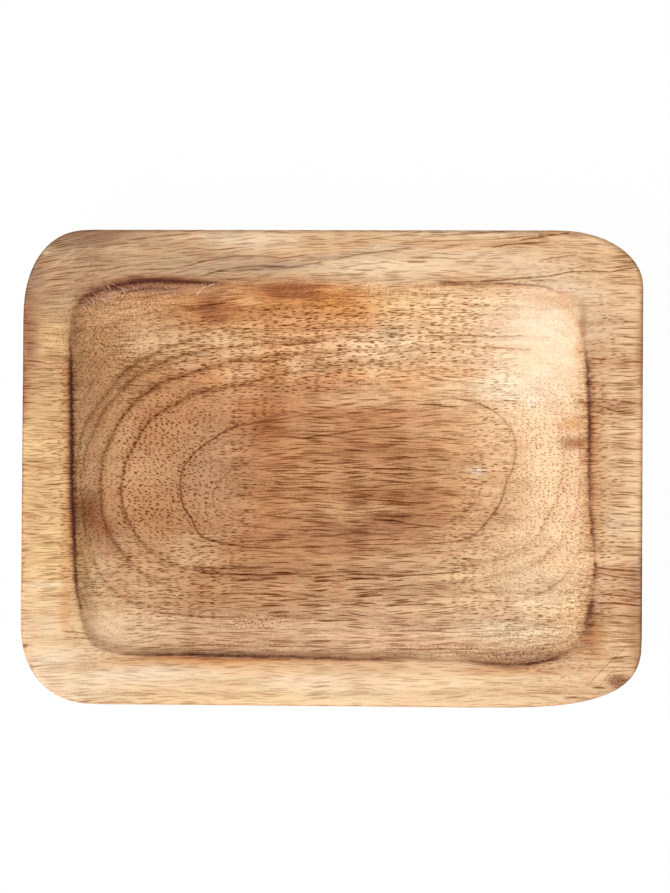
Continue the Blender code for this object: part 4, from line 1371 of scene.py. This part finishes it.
# %% Scorch and painted shade
CHAR_SHIFT = 0.03  # in millimetres, towards the hollow
char_room = wood.waver(wood.vector(along / 2.5, across / 1.2, up / 2.5), 3.0)
char_grain = wood.waver(wood.vector(along / 0.8, surface / 0.30, 2.0), 2.0)
spikes = wood.noise(wood.vector(along / 7, fibres / 0.4, 2.0), 2.0).step(0.5, 0.7) * end_wall_here
from_burn = mouth_mm + CHAR_SHIFT + fine_fibre * 0.5 + fibre * 0.5 + char_grain * 0.9
from_burn = from_burn.most(0.0) + from_burn.least(0.0) * (end_wall_here * 0.5 + 1.25)
# the scorch and, just inside the mouth, painted shade of the steep wall
burn_and_shade = wood.number("scorch_and_shade") + char_room * 0.7
burn_and_shade_width = wood.number("scorch_and_shade_width_mm")
char_and_shade = from_burn.bell(burn_and_shade_width * (0.66 + spikes * 0.9)) * burn_and_shade.step(0.1, 0.9)
char_and_shade = char_and_shade * (1.05 + char_grain * 0.8)
glow = (from_burn - 0.2).bell(burn_and_shade_width * (1.3 + spikes * 4.5)) * burn_and_shade.step(0.0, 1.2)
dirt = edge_mm.bell(0.8 + spikes * 4.0) * (0.4 + spikes * 0.4 + char_room * 1.2)
# a thin dark line on the rounded arris of the two ends: partly painted shade of the rounding,
# partly dirt
arris_shade_and_dirt_line = (edge_mm - 0.35).bell(0.5) * wood.number("edge_dark") * (0.75 + char_room * 1.2)

# %% [markdown]
# ## Wood, part eight: streaks and tints
#
# Now the parts are put together from broad to fine. The tones of the mesh come first. The
# streaks of fibre make them lighter or darker, and a slow noise pushes them towards olive or
# rose by a little. Each dark part multiplies what is under it, so that it goes redder as
# it goes darker, as wood does.

# %% Tones, streaks and tints
WARM = (0.60, 0.45, 0.34, 1)
OLIVE = (0.95, 0.99, 0.90, 1)
ROSY = (1.00, 0.90, 0.92, 1)
fibre_part = fibre * (0.75 - past_streaks * 0.15)
fine_part = fine_fibre * (0.6 - past_streaks * 0.25 - on_rim * 0.22)
streak = (fibre_part + fine_part + broad_fibre * 0.8) * (0.6 + depth * 0.4)
streak = streak * (1 - end_face * 0.8) * (past_dots * 0.6 + 0.4)
specks = grit * (0.9 - on_rim * 0.5) * (depth * 0.5 + 0.55)
raised = (lifted - torn).step(0.05, 0.3) * fuzz * 0.6
streak = streak + ring_band * ring_room * 0.4 + specks + raised
tones = wood.node("ShaderNodeAttribute", {"attribute_name": "tone"}, output="Color")
colour = wood.scaled(tones, 1.04 + streak.most(0.0) * (0.85 - on_rim * 0.5))
colour = wood.stain(colour, WARM, (streak * -2.2).held())
colour = wood.stain(colour, WARM, ring_dusk * 0.4)
tint = wood.waver(wood.vector(along / 5, across / 3.2, up / 3.2), 2.0)
colour = wood.stain(colour, OLIVE, tint.step(0.0, 0.25) * 0.35)
colour = wood.stain(colour, ROSY, (tint * -1.0).step(0.0, 0.25) * 0.8)

# %% [markdown]
# ## Wood, part nine: pores, scorch, dirt and painted shade
#
# The dark details lie over the tones: torn fibres, hairs, ring lines, pores and grain lines
# in the brown of an open pore. Then come the brown glow beside the burn, the burn itself with
# the painted shade just inside the mouth, the dirt on the edges, and the dark line on the
# arris, which is partly painted shade. A scratch is a grain line below zero, so it makes the wood
# lighter.

# %% Dark details
PORE = (0.36, 0.20, 0.08, 1)
# CHAR_AND_SHADE: the dark of the burn and of the painted shade inside the mouth
CHAR_AND_SHADE = (0.082, 0.024, 0.020, 1)
SCORCHED = (0.56, 0.31, 0.16, 1)
# grey of the dark line on the arris: painted shade and dirt
ARRIS_SHADE_AND_DIRT = (0.15, 0.11, 0.14, 1)
colour = wood.stain(colour, PORE, torn.step(0.03, 0.16) * fuzz * (0.85 + jitter * 1.0))
colour = wood.stain(colour, PORE, hairs * depth * 0.8)
colour = wood.stain(colour, PORE, (ring_line * 0.85).least(1.0))
colour = wood.stain(colour, PORE, pores.least(1.0))
colour = wood.stain(colour, PORE, grain_line.held())
colour = wood.scaled(colour, 1 + (grain_line * -0.5).most(0.0))
colour = wood.stain(colour, SCORCHED, (glow * 0.9 + dirt.most(0.0) * 0.9).least(1.0))
# the dark band at the mouth: scorch and painted shade of the steep wall
colour = wood.blend(colour, CHAR_AND_SHADE, (char_and_shade * 0.92).held())
colour = wood.stain(colour, ARRIS_SHADE_AND_DIRT, arris_shade_and_dirt_line.held())

# %% [markdown]
# ## Wood, part ten: roughness and relief
#
# The rim is rubbed and the pores are open, so pores and scorch are a little rougher than
# the rest, and the pores are real grooves, so they also go into the bump. Dry
# unfinished wood has no gloss of its own, so the shader's specular level is 0.

# %% Finish the wood
WOOD_ROUGHNESS = 0.62
WOOD_RELIEF = 0.15 * MM
rough = WOOD_ROUGHNESS + pores * 0.15 + fine_fibre * 0.2 + char_and_shade * 0.15
relief = fine_fibre * 0.2 + lifted * fuzz * 1.2 - pores * 0.9 - hairs * 0.3 - grain_line * 0.5
skin = wood.node("ShaderNodeBsdfPrincipled", {},
                 {"Base Color": colour, "Roughness": rough.least(0.95),
                  "Normal": wood.bump(relief, 0.5, WOOD_RELIEF), "Specular IOR Level": 0.0})
wood.surface(skin)

# %% [markdown]
# ## The dressed board
#
# The mesh becomes an object and takes the wood. It rides on the body that the dish is, and
# it stands for the plain solid of the imported model, which is hidden.

# %% The board in the scene
def add_object(name, data):
    """Puts an object with that data into the scene."""
    made = bpy.data.objects.new(name, data)
    bpy.context.scene.collection.objects.link(made)
    return made


mesh.materials.append(wood.material)
carved_board = add_object("carved_board", mesh)
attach(carved_board, "root")
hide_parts("dish_board")
print(carved_board.name, "stands for dish_board")

# %% [markdown]
# ## Lifted fibres
#
# Where the cutter climbed out of the wood it lifted pale splinters. Those are real pieces:
# each one is a thin strip that tapers to both ends, bows up a little and lies on the
# surface of the hollow. A short function gives the height of that surface anywhere.

# %% Surface of the hollow
def height_at(xy):
    """Height of the hollow's surface, or of the rim, above or below a place."""
    off = xy - CENTRE
    far_off = np.hypot(*off.T)
    column = np.round((np.arctan2(off[:, 1], off[:, 0]) + math.pi) / (2 * math.pi) * BEARINGS)
    column = column.astype(int) % BEARINGS
    inside = monotone(knots[:, column], levels[:, column], far_off)
    start, low = (mouth * LIP_START)[column], lip_low[column]
    on_lip = np.clip((far_off - start) / (2 * LIP), 0, 1)
    return np.where(far_off < start, inside, low + (RIM - low) * np.sin(on_lip * math.pi / 2))


print("surface at the centre:", round(height_at(CENTRE[None])[0] / MM, 1), "mm up")

# %% [markdown]
# ## Where the splinters lie
#
# Most lifted splinters lie in the back left corner, along the burned wall, and a few more at
# the front right. Each is written by its two ends and its width. The floor
# also carries some small pale chips, which are dried soap or raw wood, and are written by
# their middle and their half length and half width.

# %% Splinters and flecks
SPLINTERS = [  # across and down of both ends, and width, all in pixels
    (84, 297, 90, 305, 0.6), (88, 294, 95, 306, 0.9), (97, 295, 107, 304, 0.9),
    (94, 300.5, 99, 305, 0.6), (100, 291.5, 108, 296, 0.8), (103, 288, 107, 293, 0.6),
    (106.5, 284.5, 111, 292, 0.9), (111, 288, 118, 296, 0.7), (118, 284.5, 125, 293, 1.0),
    (122, 287, 128, 291.5, 0.6), (100, 299, 110, 301, 0.6), (81, 304, 86, 311, 0.7),
    (149, 283.5, 156, 287.5, 0.6), (105, 296.5, 114, 299, 0.8), (91, 291, 98, 299, 0.6),
    (112, 284, 121, 289, 0.6), (127, 284, 136, 289, 0.6), (133, 286, 140, 291, 0.5),
    (196, 296, 202, 288, 1.3), (201, 289.5, 208, 284.5, 1.0), (199, 286.5, 206, 283, 0.7),
    (205, 287, 219, 283, 0.8), (498, 652, 506, 656, 0.6), (509, 655, 518, 659.5, 0.6),
    (526, 652, 533, 655.5, 0.6), (530, 657, 538, 660, 0.6), (536, 657, 547, 661, 0.7),
    (540, 650, 549, 656, 0.7), (556, 650, 561, 642, 0.7), (563, 640, 569, 632, 0.7),
    (549, 643, 560, 646, 0.7), (570, 620, 575, 612, 0.6), (520, 645, 531, 648, 0.6),
    (575, 604, 579, 596, 0.6),
]
FLECKS = [  # across, down, half length, half width: small pale chips
    (475, 471, 3.0, 1.0), (480, 474, 2.6, 1.1), (472, 469, 1.6, 0.8), (484, 475, 1.4, 0.7),
    (533.6, 402.6, 2.4, 1.6), (537, 404, 1.4, 0.9), (176, 597, 1.2, 0.8), (530, 578, 1.2, 0.8),
    (222, 628, 1.2, 0.7), (253, 600, 1.0, 0.7),
]

# %% [markdown]
# ## Strips that taper and bow
#
# Every strip is three rows of points from end to end: one row on each side, close to the
# surface, and one in the middle, lifted a little. Its width falls off to both ends, its
# course bends slightly, and a splinter bows up more than a chip does. A strip never
# rises above the rim, so that the dish keeps its height.

# %% Strips of raw wood
SPLINTER_LIFT = 0.05 * MM
EDGE_LIFT = 0.3  # lift of the strip's two sides, as a share
STRIP_STEPS = 7
STRIP_BEND = 0.6 * PIXEL
TIP = 0.1  # width of a strip's tips, as a share
CHIP_SLANT, CHIP_BOW = 0.3, 0.4
strip_points, strip_faces = [], []
strips = [(x, y, u, v, w, 1.0) for x, y, u, v, w in SPLINTERS]
strips += [(x - h, y + h * CHIP_SLANT, x + h, y - h * CHIP_SLANT, 2 * w, CHIP_BOW)
           for x, y, h, w in FLECKS]
for start_x, start_y, end_x, end_y, width, bow in strips:
    share = np.linspace(0, 1, STRIP_STEPS)[:, None]
    start, end = place((start_x, start_y)), place((end_x, end_y))
    aside = np.array([start[1] - end[1], end[0] - start[0]])
    aside = aside / np.linalg.norm(aside)
    bend = np.sin(share * math.pi)
    line = start + (end - start) * share + aside * bend * STRIP_BEND
    half_width = width / 2 * PIXEL * (bend ** 0.6 * (1 - TIP) + TIP)
    base = len(strip_points)
    for side, lift in ((-1, EDGE_LIFT), (0, 1.0), (1, EDGE_LIFT)):
        at = line + aside * half_width * side
        high = height_at(at) + SPLINTER_LIFT * (lift + bow * bend[:, 0])
        strip_points += [(*p, h) for p, h in zip(at, np.minimum(high, RIM))]
    for row in range(2):
        for n in range(STRIP_STEPS - 1):
            corner = base + row * STRIP_STEPS + n
            strip_faces.append((corner, corner + 1, corner + STRIP_STEPS + 1,
                                corner + STRIP_STEPS))
splinter_mesh = bpy.data.meshes.new("lifted_fibres")
splinter_mesh.from_pydata(strip_points, [], strip_faces)
splinter_mesh.shade_smooth()
print(len(strips), "splinters and flecks,", len(strip_faces), "faces")

# %% [markdown]
# ## Pale raw wood
#
# A splinter shows wood that was never rubbed or scorched: nearly white, with a trace of
# pink, and a fine grain along the strip. A slower noise makes it a little darker in places.

# %% Splinter finish
RAW, RUBBED = (0.86, 0.60, 0.45, 1), (0.52, 0.31, 0.20, 1)
RAW_ROUGHNESS, RAW_RELIEF = 0.7, 0.1 * MM
RAW_GRAIN, RAW_WEAR = 3000.0, 600.0  # noise cells to a metre
raw = Finish("raw_wood")
raw_place = raw.position()
raw_grain = raw.waver(raw.scaled(raw_place, RAW_GRAIN), 2.0, 0.6)
raw_wear = raw.waver(raw.scaled(raw_place, RAW_WEAR), 2.0)
raw_colour = raw.blend(RAW, RUBBED, (0.3 + raw_wear * 1.6 + raw_grain * 0.8).held())
raw_skin = raw.node("ShaderNodeBsdfPrincipled", {},
                    {"Base Color": raw_colour, "Roughness": RAW_ROUGHNESS + raw_grain * 0.2,
                     "Normal": raw.bump(raw_grain, 0.4, RAW_RELIEF), "Specular IOR Level": 0.0})
raw.surface(raw_skin)
splinter_mesh.materials.append(raw.material)
lifted_fibres = add_object("lifted_fibres", splinter_mesh)
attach(lifted_fibres, "root")

# %% [markdown]
# ## Rubber for the pads
#
# Small self-adhesive feet are moulded from clear soft rubber. It isn't quite clear: it looks
# milky, with faint clouds, dust that sticks to it and the fine marks of its mould. Two
# noises make the clouds and the dust; both feed the colour and the bump, and the dust also
# the roughness.

# %% Pad finish
MILK, GREY = (0.76, 0.76, 0.73, 1), (0.52, 0.51, 0.47, 1)
RUBBER_ROUGHNESS, MOULD_RELIEF = 0.42, 0.05 * MM
CLOUDS, DUST = 450.0, 5000.0  # noise cells to a metre
rubber = Finish("milky_rubber")
rubber_place = rubber.position()
cloud = rubber.waver(rubber.scaled(rubber_place, CLOUDS), 3.0)
dust = rubber.waver(rubber.scaled(rubber_place, DUST), 2.0, 0.7)
milky = rubber.blend(MILK, GREY, (0.3 + cloud * 1.2 + dust.step(0.1, 0.25) * 0.4).least(1.0))
rubber_skin = rubber.node("ShaderNodeBsdfPrincipled", {},
                          {"Base Color": milky, "Roughness": RUBBER_ROUGHNESS + dust * 0.4,
                           "Normal": rubber.bump(cloud + dust * 0.5, 0.3, MOULD_RELIEF)})
rubber.surface(rubber_skin)

# %% [markdown]
# ## Profile of a pad
#
# A pad is a turned shape, so its form is one line from the middle of its foot to the middle
# of its top: a flat foot, a soft round edge, a side that leans out a little, a small round
# at the top and a flat top. The line is written once and works for a pad of any size.

# %% Pad profile
PAD_LEAN = 0.3 * MM
PAD_ROUND = 0.6 * MM
PAD_TOP_ROUND = 0.12 * MM
BELLY_LEAN, BELLY_HEIGHT = 0.3, 0.7  # shares of the lean and the height


def pad_profile(radius, height):
    """Points of the profile as distance from the middle and height, from foot to top."""
    foot = radius - PAD_LEAN
    profile = [(foot * n / 4, 0) for n in range(1, 4)]
    for turn in np.linspace(0, math.pi / 2, 9):
        profile.append((foot - PAD_ROUND * (1 - math.sin(turn)), PAD_ROUND * (1 - math.cos(turn))))
    profile.append((radius - PAD_LEAN * BELLY_LEAN, height * BELLY_HEIGHT))
    for turn in np.linspace(0, math.pi / 2, 5):
        profile.append((radius - PAD_TOP_ROUND * (1 - math.cos(turn)),
                        height - PAD_TOP_ROUND * (1 - math.sin(turn))))
    return profile + [(radius * n / 4, height) for n in range(3, 0, -1)]


# %% [markdown]
# ## Four turned pads
#
# The profile is turned round in steps, and neighbouring steps are joined into four-sided
# faces. The foot and the top are closed by fans. Each piece takes its place and size
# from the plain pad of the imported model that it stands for.

# %% Turned pads
PAD_SIDES = 96
for name in ("pad_front_left", "pad_front_right", "pad_back_left", "pad_back_right"):
    low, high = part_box(name)
    radius, height = (high[0] - low[0]) / 2, high[2] - low[2]
    middle_x, middle_y = (low[0] + high[0]) / 2, (low[1] + high[1]) / 2
    profile = pad_profile(radius, height)
    turns = np.linspace(0, 2 * math.pi, PAD_SIDES, endpoint=False)
    pad_points = [(middle_x + r * math.cos(t), middle_y + r * math.sin(t), low[2] + h)
                  for r, h in profile for t in turns]
    pad_points += [(middle_x, middle_y, low[2]), (middle_x, middle_y, high[2])]
    side = range(PAD_SIDES)
    pad_faces = [(n * PAD_SIDES + t, n * PAD_SIDES + (t + 1) % PAD_SIDES,
                  (n + 1) * PAD_SIDES + (t + 1) % PAD_SIDES, (n + 1) * PAD_SIDES + t)
                 for n in range(len(profile) - 1) for t in side]
    top_ring = (len(profile) - 1) * PAD_SIDES
    pad_faces += [(len(pad_points) - 2, (t + 1) % PAD_SIDES, t) for t in side]
    pad_faces += [(len(pad_points) - 1, top_ring + t, top_ring + (t + 1) % PAD_SIDES) for t in side]
    pad_mesh = bpy.data.meshes.new("turned_" + name)
    pad_mesh.from_pydata(pad_points, [], pad_faces)
    pad_mesh.shade_smooth()
    pad_mesh.materials.append(rubber.material)
    pad = add_object("turned_" + name, pad_mesh)
    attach(pad, "root")
    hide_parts(name)
print("pads of", round(2 * radius / MM, 1), "by", round(height / MM, 1), "mm")

# %% [markdown]
# ## The floor
#
# The stage is plain: the dish stands on a large sheet of white paper. The paper catches the
# dish's soft shadow, but where the camera or a mirror-like surface sees it, it glows with almost
# the white of the background, so that no grey horizon shows.

# %% Stage floor
STAGE_SIZE = 3.0
FLOOR_GLOW = 0.97
WHITE = (1, 1, 1, 1)
half = STAGE_SIZE / 2
stage_mesh = bpy.data.meshes.new("stage_floor")
stage_mesh.from_pydata([(-half, -half, 0), (half, -half, 0), (half, half, 0), (-half, half, 0)],
                       [], [(0, 1, 2, 3)])
floor = add_object("stage_floor", stage_mesh)
paper = Finish("stage_paper")
matt = paper.node("ShaderNodeBsdfDiffuse", {}, {"Color": WHITE})
white = paper.node("ShaderNodeEmission", {}, {"Color": WHITE, "Strength": 1.0})
shown = paper.node("ShaderNodeLightPath", output="Is Camera Ray")
for ray in ("Is Glossy Ray", "Is Transmission Ray"):
    shown = shown.most(paper.node("ShaderNodeLightPath", output=ray))
paper.surface(paper.node("ShaderNodeMixShader", {}, {0: shown * FLOOR_GLOW, 1: matt, 2: white}))
stage_mesh.materials.append(paper.material)

# %% [markdown]
# ## The sky
#
# Most of the light comes from an even pale sky. The camera sees a plain white one instead
# of the dimmer one that lights the dish: the Light Path node tells the two apart.

# %% Sky
SKY_LEVEL = 0.62
world = bpy.data.worlds.new("studio")
bpy.context.scene.world = world
world.use_nodes = True
tree = world.node_tree
tree.nodes.clear()
kinds = ("Background", "Background", "LightPath", "MixShader", "OutputWorld")
sky, bright, path, both, out = (tree.nodes.new("ShaderNode" + kind) for kind in kinds)
for background, level in ((sky, SKY_LEVEL), (bright, 1.0)):
    background.inputs["Color"].default_value = WHITE
    background.inputs["Strength"].default_value = level
for start, end in ((path.outputs["Is Camera Ray"], both.inputs[0]),
                   (sky.outputs[0], both.inputs[1]), (bright.outputs[0], both.inputs[2]),
                   (both.outputs[0], out.inputs[0])):
    tree.links.new(start, end)

# %% [markdown]
# ## The lamp
#
# One soft lamp shines from the front left, as the bright right wall of the hollow shows. Sky
# and lamp together light a level surface at about one, so a colour shows as it is written.

# %% Lamp
LAMP_STRENGTH = 1.75
LAMP_SPREAD = math.radians(25)
LAMP_FROM = Vector((-0.62, -0.55, 0.95))
lamp_data = bpy.data.lights.new("soft_lamp", "SUN")
lamp_data.energy = LAMP_STRENGTH
lamp_data.angle = LAMP_SPREAD
lamp = add_object("soft_lamp", lamp_data)
lamp.rotation_euler = LAMP_FROM.to_track_quat("Z", "Y").to_euler()
print("sky at", SKY_LEVEL, "and lamp at", LAMP_STRENGTH)

# %% [markdown]
# ## The camera
#
# The picture was taken from straight above, and its outlines show hardly any perspective. So
# the camera stands well back with a long lens. The lens is worked out so that one
# pixel of the picture covers the same width on the rim as one pixel of the render.

# %% Camera
PICTURE_WIDTH, PICTURE_HEIGHT = 670, 893
CAMERA_DISTANCE = 0.9
SENSOR_WIDTH = 36.0
camera_data = bpy.data.cameras.new("camera")
camera_data.sensor_fit = "HORIZONTAL"
camera_data.sensor_width = SENSOR_WIDTH
camera_data.lens = SENSOR_WIDTH * CAMERA_DISTANCE / (PICTURE_WIDTH * PIXEL)
camera = add_object("camera", camera_data)
picture_middle = place((PICTURE_WIDTH / 2, PICTURE_HEIGHT / 2))
camera.location = (*picture_middle, RIM + CAMERA_DISTANCE)
bpy.context.scene.camera = camera
bpy.context.scene.view_settings.view_transform = "Standard"
print("lens", round(camera_data.lens, 1), "mm")
